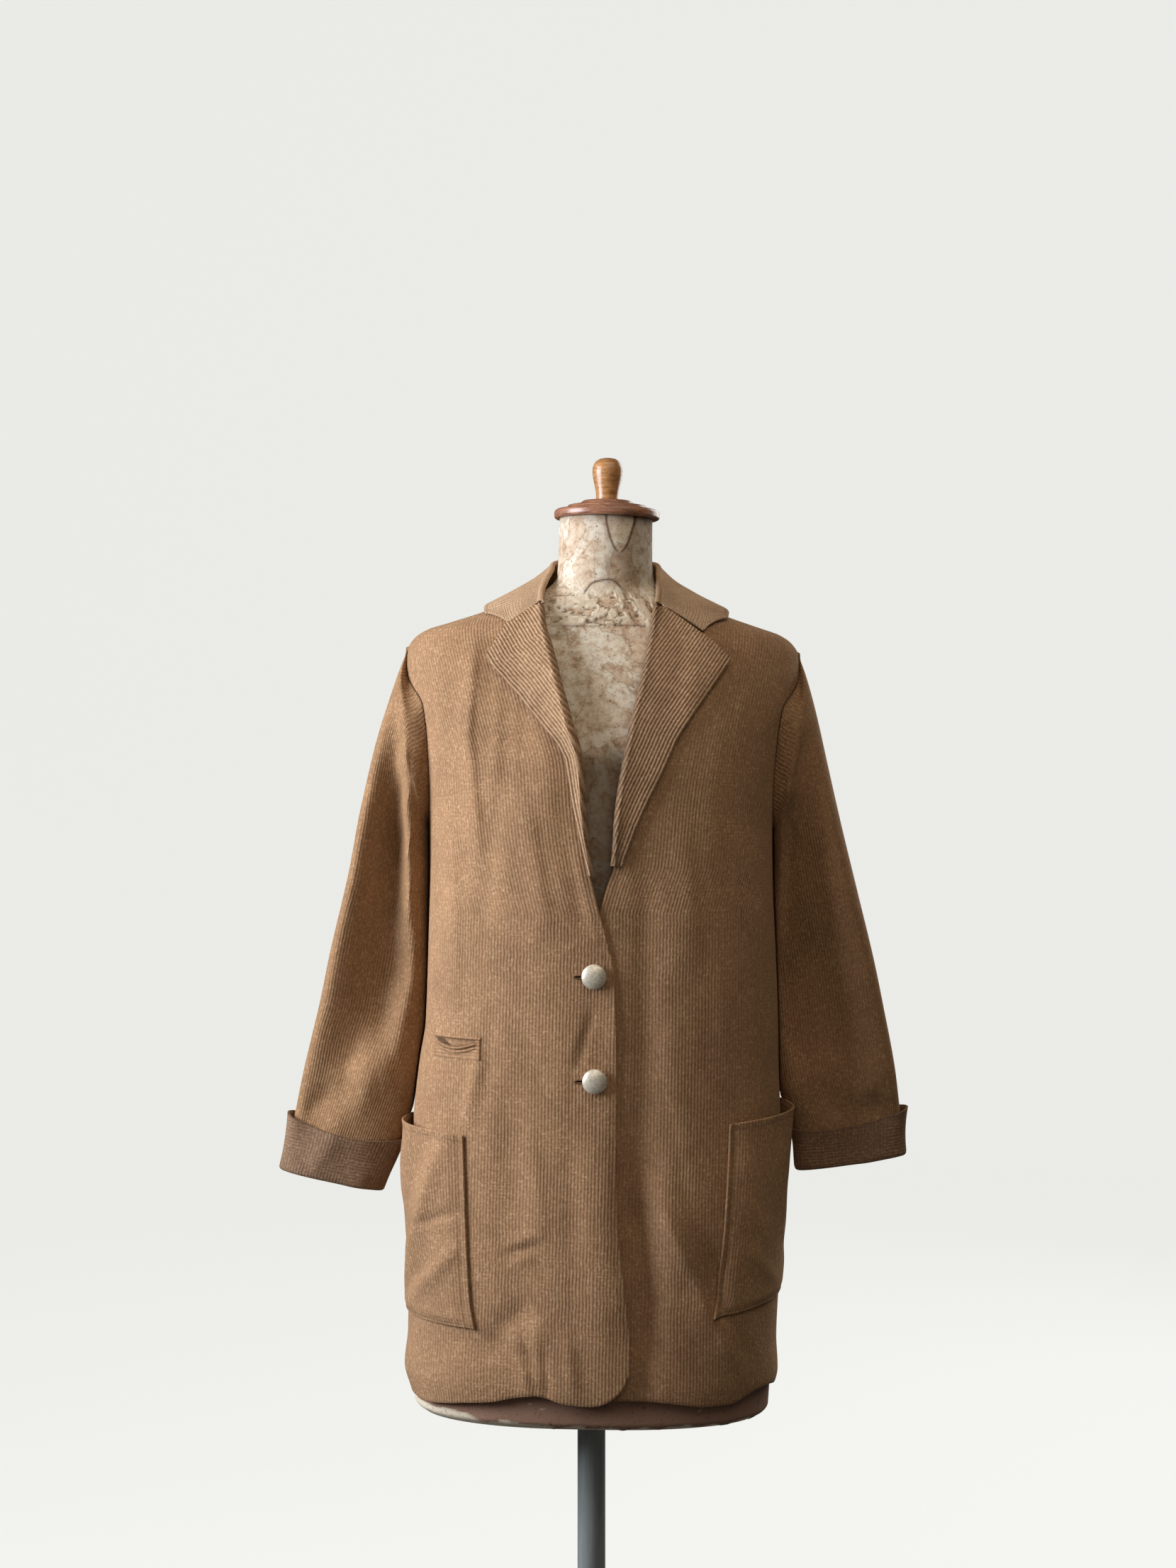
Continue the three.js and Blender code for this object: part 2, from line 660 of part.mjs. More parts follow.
// The collar: a stand up from the neck seam, a round fold, and a fall outside it
function collarPanel() {
  const grid = COLLAR.map((row, station) => {
    const seam = new THREE.Vector3(row.seamX, row.seamY, row.seamH);
    const fold = new THREE.Vector3(row.foldX, row.foldY, row.foldH);
    const edge = new THREE.Vector3(row.edgeX, row.edgeY, row.edgeH);
    const out = edge.clone().sub(fold).setZ(0).normalize();
    const standTop = fold.clone().addScaledVector(out, -COLLAR_FOLD_RADIUS);
    standTop.z -= COLLAR_FOLD_DROP;
    const fallTop = fold.clone().addScaledVector(out, COLLAR_FOLD_RADIUS);
    fallTop.z -= COLLAR_FOLD_DROP;
    const atEnd = station === 0 || station === COLLAR.length - 1;
    const dip = atEnd ? notchDip(row, fallTop, edge) : () => new THREE.Vector3();
    const fall = Array.from({ length: COLLAR_FALL_STEPS }, (_, i) => {
      const share = (i + 1) / COLLAR_FALL_STEPS;
      const crown = COLLAR_CROWN * Math.sin(Math.PI * share);
      const point = fallTop.clone().lerp(edge, share).add(new THREE.Vector3(0, 0, crown)).add(dip(share));
      point.z = Math.max(point.z, restHeight(point.x, point.y, COLLAR_LIFT));
      return point;
    });
    return [seam, seam.clone().lerp(standTop, 0.5), standTop, fold, fallTop, ...fall];
  });
  return makePanel(grid, false, -1);
}

// The height at which something lies on the shoulders, clear of them by a lift
function restHeight(x, y, lift) {
  let low = ARMPIT_HEIGHT;
  let high = NECK_POINT + lift;
  for (let pass = 0; pass < 24; pass += 1) {
    const middle = (low + high) / 2;
    const level = middle - lift;
    const half = (x < 0 ? body.left(level) : body.right(level)) + lift;
    const depth = (y < 0 ? body.front(level) : body.back(level)) + lift;
    const power = body.power(level);
    const inside = (Math.abs(x) / half) ** power + (Math.abs(y) / depth) ** power < 1;
    if (inside) low = middle;
    else high = middle;
  }
  return low;
}

// At each end the fall follows the gorge seam down to the notch, then its free edge
function notchDip(row, from, to) {
  const notch = NOTCH[row.edgeX < 0 ? 0 : 1];
  const share = Math.abs(notch.x - from.x) / Math.abs(to.x - from.x);
  const line = from.clone().lerp(to, share);
  const drop = new THREE.Vector3(0, notch.y - line.y, notch.height - line.z);
  return (at) => drop.clone().multiplyScalar(at < share ? at / share : (1 - at) / (1 - share));
}

// The armhole's edge as a ring of points and normals: up the front, down the back
function armholeRing(front, back, side) {
  const backColumn = side > 0 ? 0 : BACK_COLUMNS;
  const firstRow = ROWS.indexOf(ARMPIT_HEIGHT);
  const edge = (panel, i, column) => ({
    point: panel.grid[firstRow + i][column], normal: panel.normals[firstRow + i][column],
  });
  const up = ARMHOLE.map((_, i) => edge(front, i, FRONT_COLUMNS));
  const down = ARMHOLE.map((_, i) => edge(back, i, backColumn)).slice(1, -1).reverse();
  const corners = [...up, ...down];
  return corners.flatMap((corner, i) => {
    const next = corners[(i + 1) % corners.length];
    const between = {
      point: corner.point.clone().lerp(next.point, 0.5),
      normal: corner.normal.clone().add(next.normal).normalize(),
    };
    return [corner, between];
  });
}

// One ring of a sleeve, its points in step with the armhole's
function sleeveRing(side, row, count) {
  const outer = new THREE.Vector3(side * row.outerX, row.middle, row.outerH);
  const inner = new THREE.Vector3(side * row.innerX, row.middle, row.innerH);
  const centre = outer.clone().lerp(inner, 0.5);
  const reach = outer.clone().sub(inner).multiplyScalar(0.5);
  const upCount = 2 * (ARMHOLE.length - 1);
  return Array.from({ length: count }, (_, i) => {
    const facesFront = i <= upCount;
    const turn = Math.PI * (facesFront ? i / upCount : 1 + (i - upCount) / (count - upCount));
    const along = -Math.sign(Math.cos(turn)) * Math.abs(Math.cos(turn)) ** (2 / SLEEVE_POWER);
    const bulge = Math.abs(Math.sin(turn)) ** (2 / SLEEVE_POWER);
    const depth = facesFront ? row.front : row.back;
    const trough = facesFront ? row.trough : row.trough * BACK_TROUGH_SHARE;
    const hollow = trough * bulge * troughShape(along, row.crease);
    const point = centre.clone().addScaledVector(reach, along);
    point.y += (facesFront ? -1 : 1) * (depth * bulge - hollow);
    return point;
  });
}

// A trough with a steep side towards the body and a long slope outwards
function troughShape(along, crease) {
  if (along < crease) return 1 - smoothstep(crease - along, 0, TROUGH_INNER);
  return 1 - smoothstep(along - crease, 0, Math.max(TROUGH_OUTER_END - crease, TROUGH_OUTER_LEAST));
}

function sleevePanel(front, back, side, rows) {
  const start = armholeRing(front, back, side);
  const rings = rows.map((row) => sleeveRing(side, row, start.length));
  const first = start.map(({ point }, i) => {
    const away = rings[0][i].clone().sub(point).normalize();
    return point.clone().addScaledVector(away, SEAM_GAP);
  });
  const panel = makePanel([first, ...rings], true, -side);
  start.forEach(({ normal }, i) => panel.normals[0][i].copy(normal));
  return panel;
}

// The end of a sleeve turned back on itself, loose at its upper edge
function cuffPanel(sleeve, side) {
  const last = sleeve.grid.length - 1;
  const columns = sleeve.grid[0].length;
  const grid = Array.from({ length: CUFF_ROWS + 1 }, (_, r) => {
    const row = CUFF_TOP_RING + ((last - CUFF_TOP_RING) * r) / CUFF_ROWS;
    const distance = LAID_GAP + CUFF_WALL + CUFF_FLARE * (r / CUFF_ROWS);
    return Array.from({ length: columns }, (_c, c) => onPanel(sleeve, row, c, distance));
  });
  return makePanel(grid, true, -side);
}

// A patch pocket, sewn down on its front edge, its foot and at the side seam.
// It keeps to the front's own rows and columns, so that it lies flat on them.
function pocketPanel(front, side, pocket) {
  const edgeAt = reader(table(['height', 'x'], pocket.edge), 'height', 'x');
  const [lowFoot, highFoot] = [Math.min(...pocket.foot), Math.max(...pocket.foot)];
  const lowMouth = Math.min(...pocket.mouth);
  const between = ROWS.filter((level) => level > highFoot + POCKET_ROW_SPACE
    && level < lowMouth - POCKET_ROW_SPACE);
  const firstColumn = Math.ceil(placeOn(front, lowFoot, edgeAt(lowFoot))[1] + POCKET_COLUMN_SPACE);
  const lastColumn = FRONT_COLUMNS - POCKET_SEAM_SPACE;
  const columnsPast = Array.from({ length: FRONT_COLUMNS - firstColumn + 1 }, (_, i) => firstColumn + i);
  const levels = [null, ...between, null];
  const grid = levels.map((level, r) => {
    const limits = r === 0 ? pocket.foot : pocket.mouth;
    const rowOfColumn = (column, across) => {
      if (level) return ROWS.indexOf(level);
      const height = THREE.MathUtils.lerp(...limits, across);
      return crossing(front.grid.length, (i) => onPanel(front, i, column, 0).z, height);
    };
    const edgeHeight = level ?? limits[0];
    const edgeColumn = placeOn(front, edgeHeight, edgeAt(edgeHeight))[1];
    const up = (edgeHeight - pocket.foot[0]) / (pocket.mouth[0] - pocket.foot[0]);
    return [edgeColumn, ...columnsPast].map((column) => {
      const across = (column - edgeColumn) / (FRONT_COLUMNS - edgeColumn);
      const held = Math.min(column, lastColumn);
      const gape = pocket.gape * pocketBelly(across) * up ** POCKET_FLARE;
      return onPanel(front, rowOfColumn(held, across), held, POCKET_GAP + WALL + gape);
    });
  });
  return makePanel(grid, false, side);
}

// How far across its width a pocket stands open: most near the body's corner
function pocketBelly(across) {
  if (across < POCKET_BELLY) return smoothstep(across, 0, POCKET_BELLY);
  return 1 - smoothstep(across, POCKET_BELLY, POCKET_SEAM_END);
}

// The ticket pocket's welt, which sags open at its mouth
function ticketPanel(front) {
  const { fromX, toX, top, foot, gape, sag } = TICKET_POCKET;
  const grid = [foot, top].map((height, r) => Array.from({ length: TICKET_COLUMNS + 1 }, (_, c) => {
    const across = c / TICKET_COLUMNS;
    const bow = Math.sin(Math.PI * across);
    const [row, column] = placeOn(front, height - sag * bow, THREE.MathUtils.lerp(toX, fromX, across));
    return onPanel(front, row, column, LAID_GAP + WALL + r * gape * bow);
  }));
  return makePanel(grid, false, -1);
}

// Turned shapes, with their profile's height along +Z
function turned(profile, segments) {
  const points = profile.map(([radius, height]) => new THREE.Vector2(radius, height));
  return new THREE.LatheGeometry(points, segments).rotateX(Math.PI / 2);
}

// The form's outline at every level: hips to bust, shoulders under the cloth, neck
function formLevels() {
  const lower = TORSO_LEVELS.map((height) => ({
    height,
    half: torso.half(height),
    front: torso.front(height),
    back: torso.back(height),
    power: torso.power(height),
  }));
  const shoulders = SHOULDERS.map(({ level, power }) => ({
    height: level - SHOULDER_REST,
    half: body.right(level) - SHOULDER_CLEARANCE,
    front: body.front(level) - CHEST_CLEARANCE,
    back: body.back(level) - CHEST_CLEARANCE,
    power,
  }));
  const neck = NECK.map((row) => ({ ...row, power: 2 }));
  return [...lower, ...shoulders, ...neck];
}

function formGeometry() {
  const segments = FORM_SEGMENTS;
  const levels = formLevels();
  const positions = [];
  for (const level of levels) {
    const shift = level.height > NECK_POINT ? NECK_CENTRE : 0;
    for (let i = 0; i < segments; i += 1) {
      const angle = (360 * i) / segments;
      const depth = Math.cos(THREE.MathUtils.degToRad(angle)) > 0 ? level.front : level.back;
      const [x, y] = oval(angle, level.half, depth, level.power);
      positions.push(x + shift, y, level.height);
    }
  }
  const count = levels.length;
  const foot = positions.length / 3;
  positions.push(0, 0, levels[0].height, NECK_CENTRE, 0, levels[count - 1].height);
  const index = [];
  for (let i = 0; i < segments; i += 1) {
    const next = (i + 1) % segments;
    for (let r = 0; r < count - 1; r += 1) {
      const low = r * segments;
      const high = low + segments;
      index.push(low + i, low + next, high + next, low + i, high + next, high + i);
    }
    index.push(foot, next, i);
    index.push(foot + 1, (count - 1) * segments + i, (count - 1) * segments + next);
  }
  return cutFrom(closedGeometry(positions, index), socketTool());
}

// What the pole's socket takes out of the form's underside
function socketTool() {
  const radius = POLE_RADIUS + SOCKET_PLAY;
  const below = -10;
  return turned([[0, below], [radius, below], [radius, SOCKET_DEPTH], [0, SOCKET_DEPTH]], STAND_SEGMENTS);
}

function toSolid(geometry) {
  const bare = geometry.clone();
  bare.deleteAttribute('normal');
  bare.deleteAttribute('uv');
  const merged = mergeVertices(bare, 1e-4);
  return new wasm.Manifold(new wasm.Mesh({
    numProp: 3,
    vertProperties: new Float32Array(merged.attributes.position.array),
    triVerts: new Uint32Array(merged.index.array),
  }));
}

function cutFrom(geometry, tool) {
  const mesh = toSolid(geometry).subtract(toSolid(tool)).getMesh();
  const result = new THREE.BufferGeometry();
  result.setAttribute('position', new THREE.Float32BufferAttribute(mesh.vertProperties, 3));
  result.setIndex(new THREE.Uint32BufferAttribute(mesh.triVerts, 1));
  result.computeVertexNormals();
  return result;
}

function addMesh(parent, name, geometry, finish) {
  const mesh = new THREE.Mesh(geometry, new THREE.MeshStandardMaterial(finish));
  mesh.name = name;
  parent.add(mesh);
  return mesh;
}

const cardigan = new THREE.Group();

// The stand: base, hub and pole
function baseGeometry() {
  const hubBore = POLE_RADIUS + SEAT_GAP;
  const underside = [[0, 0], [BASE_RADIUS - 3, 0], [BASE_RADIUS, 3]];
  const rim = [[BASE_RADIUS, BASE_THICKNESS - 5], [BASE_RADIUS - 5, BASE_THICKNESS]];
  const hub = [
    [HUB_RADIUS + 9, BASE_THICKNESS + 4], [HUB_RADIUS, BASE_THICKNESS + 12],
    [HUB_RADIUS, HUB_HEIGHT - 2], [HUB_RADIUS - 2, HUB_HEIGHT],
  ];
  const bore = [[hubBore, HUB_HEIGHT], [hubBore, POLE_FOOT], [0, POLE_FOOT]];
  return turned([...underside, ...rim, ...hub, ...bore], STAND_SEGMENTS);
}

function poleGeometry(length) {
  return new THREE.CylinderGeometry(POLE_RADIUS, POLE_RADIUS, length, STAND_SEGMENTS).rotateX(Math.PI / 2);
}

const poleTop = FORM_BOTTOM + SOCKET_DEPTH - 2 * SEAT_GAP;
const poleLength = poleTop - POLE_FOOT - SEAT_GAP;
addMesh(cardigan, 'base', baseGeometry(), BASE_IRON);
const pole = addMesh(cardigan, 'pole', poleGeometry(poleLength), POLE_STEEL);
pole.position.z = poleTop - poleLength / 2;

// The form, and everything that it carries
const worn = new THREE.Group();
worn.position.z = FORM_BOTTOM;
worn.rotation.y = LEAN;
cardigan.add(worn);
addMesh(worn, 'form', formGeometry(), PAPER);
const neckTop = NECK[NECK.length - 1].height;
const capHeight = CAP_PROFILE[CAP_PROFILE.length - 1][1];
const turnedCentre = NECK_CENTRE + TURNED_OFFSET;
const cap = addMesh(worn, 'form_cap', turned(CAP_PROFILE, FORM_SEGMENTS), TURNED_WOOD);
cap.position.set(turnedCentre, 0, neckTop + SEAT_GAP);
const knob = addMesh(worn, 'form_knob', turned(KNOB_PROFILE, KNOB_SEGMENTS), TURNED_WOOD);
knob.position.set(turnedCentre, 0, neckTop + capHeight + 2 * SEAT_GAP);

// The body of the cardigan
const back = backPanel();
const leftFront = frontPanel(-1, leftEdge, leftHem, true);
const rightFront = frontPanel(1, rightEdge, rightHem, false);
addMesh(worn, 'back', wallGeometry(back, WALL), WOOL);
addMesh(worn, 'front_lapping_over', wallGeometry(leftFront, WALL), WOOL);
addMesh(worn, 'front_lapping_under', wallGeometry(rightFront, WALL), WOOL);

// Lapels, collar and pockets
addMesh(worn, 'lapel_over', wallGeometry(lapelPanel(leftFront, -1, LEFT_LAPEL), WALL), WOOL_RIB);
addMesh(worn, 'lapel_under', wallGeometry(lapelPanel(rightFront, 1, RIGHT_LAPEL), WALL), WOOL_RIB);
addMesh(worn, 'collar', wallGeometry(collarPanel(), WALL), WOOL);
addMesh(worn, 'patch_pocket_left', wallGeometry(pocketPanel(leftFront, -1, LEFT_POCKET), WALL), WOOL);
addMesh(worn, 'patch_pocket_right', wallGeometry(pocketPanel(rightFront, 1, RIGHT_POCKET), WALL), WOOL);
addMesh(worn, 'ticket_pocket', wallGeometry(ticketPanel(leftFront), WALL), WOOL);

// Sleeves with their turned-back cuffs
for (const [name, front, side, rows] of [
  ['left', leftFront, -1, LEFT_SLEEVE],
  ['right', rightFront, 1, RIGHT_SLEEVE],
]) {
  const sleeve = sleevePanel(front, back, side, rows);
  addMesh(worn, `sleeve_${name}`, wallGeometry(sleeve, WALL), WOOL);
  addMesh(worn, `cuff_${name}`, wallGeometry(cuffPanel(sleeve, side), CUFF_WALL), WOOL);
}

// Buttons, each with its shank on the cloth
for (const { name, x, height } of BUTTONS) {
  const [row, column] = placeOn(leftFront, height, x);
  const seat = onPanel(leftFront, row, column, SEAT_GAP);
  const geometry = turned(BUTTON_PROFILE, BUTTON_SEGMENTS).rotateX(Math.PI / 2);
  addMesh(worn, name, geometry, BUTTON_METAL).position.copy(seat);
}

export default cardigan;
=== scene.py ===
import logging
import math
from collections.abc import Callable
from dataclasses import dataclass, field
from enum import Enum
from typing import ClassVar

import bmesh
import bpy
import numpy as np
from bpy.types import Material, Mesh, Node, NodeSocket, NodeTree, Object
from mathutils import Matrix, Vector


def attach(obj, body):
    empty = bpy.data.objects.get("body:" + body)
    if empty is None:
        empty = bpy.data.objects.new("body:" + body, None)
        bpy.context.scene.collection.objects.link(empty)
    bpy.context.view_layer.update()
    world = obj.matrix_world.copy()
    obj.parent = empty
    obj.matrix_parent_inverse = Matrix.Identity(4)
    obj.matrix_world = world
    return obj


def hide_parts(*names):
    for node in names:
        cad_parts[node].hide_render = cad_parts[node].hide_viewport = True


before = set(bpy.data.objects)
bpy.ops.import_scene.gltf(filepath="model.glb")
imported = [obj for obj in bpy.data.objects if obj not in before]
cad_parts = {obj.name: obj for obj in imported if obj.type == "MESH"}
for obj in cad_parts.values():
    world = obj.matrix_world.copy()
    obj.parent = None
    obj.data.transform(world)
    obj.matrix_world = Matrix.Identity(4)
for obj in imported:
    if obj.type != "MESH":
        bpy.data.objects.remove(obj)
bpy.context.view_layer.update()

# A camel wool cardigan cut like a blazer, on an antique dress form and its pole.
# Sizes are in millimetres in the garment's own upright frame, whose heights are
# measured from the underside of the form, and are turned to metres in the row
# frame, with the form's small lean, only as each mesh is made.

log = logging.getLogger("cardigan")

FORM_BOTTOM = 560.0
LEAN = 0.0155
WALL = 2.0
LAID_GAP = 0.6
HEM_HEIGHT = 30.0
HEM_BLEND = 130.0
ARMPIT = 600.0
SHOULDER_TIP = 793.0
NECK_POINT = 846.0
SIDE_SEAM_ANGLE = 93.0
NECK_CENTRE = 0.8
SLEEVE_HEAD_ROWS = 24

Array = np.ndarray
Rows = tuple[tuple[float, ...], ...]
Place = tuple[float, float, float]


class Side(Enum):
    """Which half of the garment a piece belongs to, as the front is seen."""

    LEFT = -1
    RIGHT = 1


class Rim(Enum):
    """An edge of a panel's grid: its first or last row, its first or last column."""

    FIRST_ROW = 0
    LAST_ROW = 1
    FIRST_COLUMN = 2
    LAST_COLUMN = 3


class Held(Enum):
    """How a sheet of cloth is held in its shape."""

    HUNG = "hung"
    FOLDED = "folded"


# Small curves and noise


def ease(value: Array | float, low: float, high: float) -> Array:
    """Returns a smooth step from 0 at low to 1 at high."""
    share = np.clip((np.asarray(value, float) - low) / (high - low), 0.0, 1.0)
    return share * share * (3 - 2 * share)


def bell(value: Array, width: float) -> Array:
    """Returns a soft hump of height 1 and the given half width."""
    return np.exp(-((value / width) ** 2))


class Curve:
    """A smooth curve through points, with no overshoot between them."""

    def __init__(self, at: tuple[float, ...], value: tuple[float, ...]) -> None:
        """Keeps the points and works out the slope at each.

        Args:
            at: Where the points are, rising.
            value: The value at each.
        """
        self.at = np.array(at, float)
        self.value = np.array(value, float)
        rise = np.diff(self.value) / np.diff(self.at)
        before = np.concatenate([rise[:1], rise])
        after = np.concatenate([rise, rise[-1:]])
        both = before * after
        total = np.where(np.abs(before + after) > 1e-9, before + after, 1.0)
        self.slope = np.where(both > 0, 2 * both / total, 0.0)

    def __call__(self, t: Array | float) -> Array:
        """Returns the curve's value at t, held level outside its ends."""
        clamped = np.clip(np.asarray(t, float), self.at[0], self.at[-1])
        i = np.clip(np.searchsorted(self.at, clamped, side="right") - 1, 0, len(self.at) - 2)
        span = self.at[i + 1] - self.at[i]
        u = (clamped - self.at[i]) / span
        mixed = self.value[i] + (self.value[i + 1] - self.value[i]) * u * u * (3 - 2 * u)
        return mixed + (self.slope[i] * (1 - u) - self.slope[i + 1] * u) * u * (1 - u) * span


def curves(rows: Rows) -> list[Curve]:
    """Returns one curve for each column after the first, read against the first."""
    columns = list(zip(*rows))
    return [Curve(columns[0], column) for column in columns[1:]]


class Unevenness:
    """Seeded soft noise on a plane, for the small unevenness of cloth and plaster."""

    SIZE = 64
    OFFSET = (17.3, 11.9)

    def __init__(self, seed: int, cell_u: float, cell_v: float) -> None:
        """Fills a lattice of random heights.

        Args:
            seed: Fixes the pattern.
            cell_u: The lattice's spacing across, in millimetres.
            cell_v: The lattice's spacing along.
        """
        self.lattice = np.random.default_rng(seed).uniform(-1, 1, (self.SIZE, self.SIZE))
        self.cell = (cell_u, cell_v)

    def __call__(self, u: Array, v: Array) -> Array:
        """Reads the noise.

        Args:
            u: Places across, in millimetres.
            v: Places along.

        Returns:
            The noise at each place, from -1 to 1.
        """
        a = np.asarray(u, float) / self.cell[0] + self.OFFSET[0]
        b = np.asarray(v, float) / self.cell[1] + self.OFFSET[1]
        i, j = np.floor(a).astype(int), np.floor(b).astype(int)
        s, t = a - i, b - j
        s, t = s * s * (3 - 2 * s), t * t * (3 - 2 * t)
        i, j, right, up = i % self.SIZE, j % self.SIZE, (i + 1) % self.SIZE, (j + 1) % self.SIZE
        low = self.lattice[i, j] * (1 - s) + self.lattice[right, j] * s
        high = self.lattice[i, up] * (1 - s) + self.lattice[right, up] * s
        return low * (1 - t) + high * t


@dataclass(frozen=True)
class Fold:
    """A soft ridge of cloth from one place to another, or a trough if it is negative.

    Its flanks fall off over width, less steeply on the side that lean names, and
    it tapers over a share of its length at each end.
    """

    TAPER: ClassVar[float] = 0.35

    start: tuple[float, float]
    end: tuple[float, float]
    width: float
    height: float
    lean: float = 0.0

    def lift(self, x: Array, y: Array) -> Array:
        """Works out how far the fold lifts the cloth.

        Args:
            x: Places across the cloth, in millimetres.
            y: Places along it.

        Returns:
            The lift at each place.
        """
        run = np.subtract(self.end, self.start)
        length = float(np.hypot(*run))
        along = ((x - self.start[0]) * run[0] + (y - self.start[1]) * run[1]) / length
        across = ((x - self.start[0]) * run[1] - (y - self.start[1]) * run[0]) / length
        taper = self.TAPER * length
        ends = ease(along, -taper * 0.5, taper) * (1 - ease(along, length - taper, length + taper * 0.5))
        width = self.width * np.where(across > 0, 1 + self.lean, 1 - self.lean)
        return self.height * ends * bell(across, width)


def folds(rows: Rows) -> tuple[Fold, ...]:
    """Returns a fold for each row of start x, start y, end x, end y, width, height, lean."""
    return tuple(Fold((a, b), (c, d), width, height, *rest) for a, b, c, d, width, height, *rest in rows)


def lift_of(some: tuple[Fold, ...], x: Array, y: Array) -> Array:
    """Returns the folds' lifts added together."""
    return sum((fold.lift(x, y) for fold in some), np.zeros(np.shape(x)))


# The cloth's surfaces, as grids of points


def grid_normals(points: Array, wrap: bool = False) -> Array:
    """Returns the unit normal at each point of a grid.

    Args:
        points: Rows by columns by 3.
        wrap: Whether the last column lies on the first.

    Returns:
        An array of the same shape.
    """
    down = np.gradient(points, axis=0)
    if wrap:
        ring = np.concatenate([points[:, -2:-1], points, points[:, 1:2]], axis=1)
        across = np.gradient(ring, axis=1)[:, 1:-1]
    else:
        across = np.gradient(points, axis=1)
    normal = np.cross(down, across)
    return normal / np.maximum(np.linalg.norm(normal, axis=-1, keepdims=True), 1e-9)


def arc_lengths(points: Array, axis: int) -> Array:
    """Returns the running length down the columns, axis 0, or along the rows, axis 1."""
    steps = np.linalg.norm(np.diff(points, axis=axis), axis=-1)
    zero = np.zeros_like(np.take(steps, [0], axis=axis))
    return np.cumsum(np.concatenate([zero, steps], axis=axis), axis=axis)


@dataclass
class Panel:
    """A cut piece of cloth as a fine grid of its outer face.

    Attributes:
        points: Rows by columns by 3, in millimetres.
        outward: 1 or -1, which turns the grid's normals out of the garment.
        flat: Rows by columns by 2, each point's place on the flat piece.
        wrap: Whether the last column lies on the first.
    """

    points: Array
    outward: int
    flat: Array
    wrap: bool = False
    normals: Array = field(init=False)

    def __post_init__(self) -> None:
        """Works out the normals once the points are set."""
        self.normals = grid_normals(self.points, self.wrap) * self.outward

    def at(self, row: Array, column: Array, away: Array | float) -> Array:
        """Returns points at fractional rows and columns, moved out from the face.

        Args:
            row: Fractional rows.
            column: Fractional columns.
            away: How far out, in millimetres.

        Returns:
            A point for each place.
        """
        row, column = np.broadcast_arrays(np.asarray(row, float), np.asarray(column, float))
        r = np.clip(np.floor(row).astype(int), 0, self.points.shape[0] - 2)
        c = np.clip(np.floor(column).astype(int), 0, self.points.shape[1] - 2)
        s, t = (column - c)[..., None], (row - r)[..., None]

        def mix(grid: Array) -> Array:
            """Returns a grid's values between its four nearest points."""
            low = grid[r, c] * (1 - s) + grid[r, c + 1] * s
            high = grid[r + 1, c] * (1 - s) + grid[r + 1, c + 1] * s
            return low * (1 - t) + high * t

        normal = mix(self.normals)
        normal /= np.linalg.norm(normal, axis=-1, keepdims=True)
        return mix(self.points) + normal * np.broadcast_to(away, row.shape)[..., None]

    def row_of(self, height: float, column: float) -> float:
        """Returns the fractional row at which a column has a height."""
        c = min(int(column), self.points.shape[1] - 2)
        heights = self.points[:, c, 2] * (1 - (column - c)) + self.points[:, c + 1, 2] * (column - c)
        return float(np.interp(height, heights, np.arange(len(heights))))

    def place(self, height: float, x: float) -> tuple[float, float]:
        """Finds the place on the panel with a height and an x, in a few turns.

        Args:
            height: The height.
            x: The distance from the middle, rising to the right.

        Returns:
            The fractional row and column.
        """
        row = column = 0.0
        for _ in range(4):
            row = self.row_of(height, column)
            r = min(int(row), self.points.shape[0] - 2)
            line = self.points[r, :, 0] * (1 - (row - r)) + self.points[r + 1, :, 0] * (row - r)
            reach = np.abs(line - line[0])
            column = float(np.interp(abs(x - line[0]), reach, np.arange(len(line))))
        return row, column

    def on(self, height: float, x: float, away: float) -> Array:
        """Returns the point at a height and an x, moved out from the face."""
        row, column = self.place(height, x)
        return self.at(np.array(row), np.array(column), away)


def oval(turn: Array, half: Array, depth: Array,
         power: Array) -> tuple[Array, Array]:
    """Works out points of a rounded oval.

    Args:
        turn: Angles from the front, rising to the right, in radians.
        half: The half width on each angle's side.
        depth: The half depth on each angle's side.
        power: 2 for an ellipse, and more for squarer corners.

    Returns:
        The x and the y of each point.
    """
    sine, cosine = np.sin(turn), np.cos(turn)
    x = np.sign(sine) * half * np.abs(sine) ** (2 / power)
    y = -np.sign(cosine) * depth * np.abs(cosine) ** (2 / power)
    return x, y


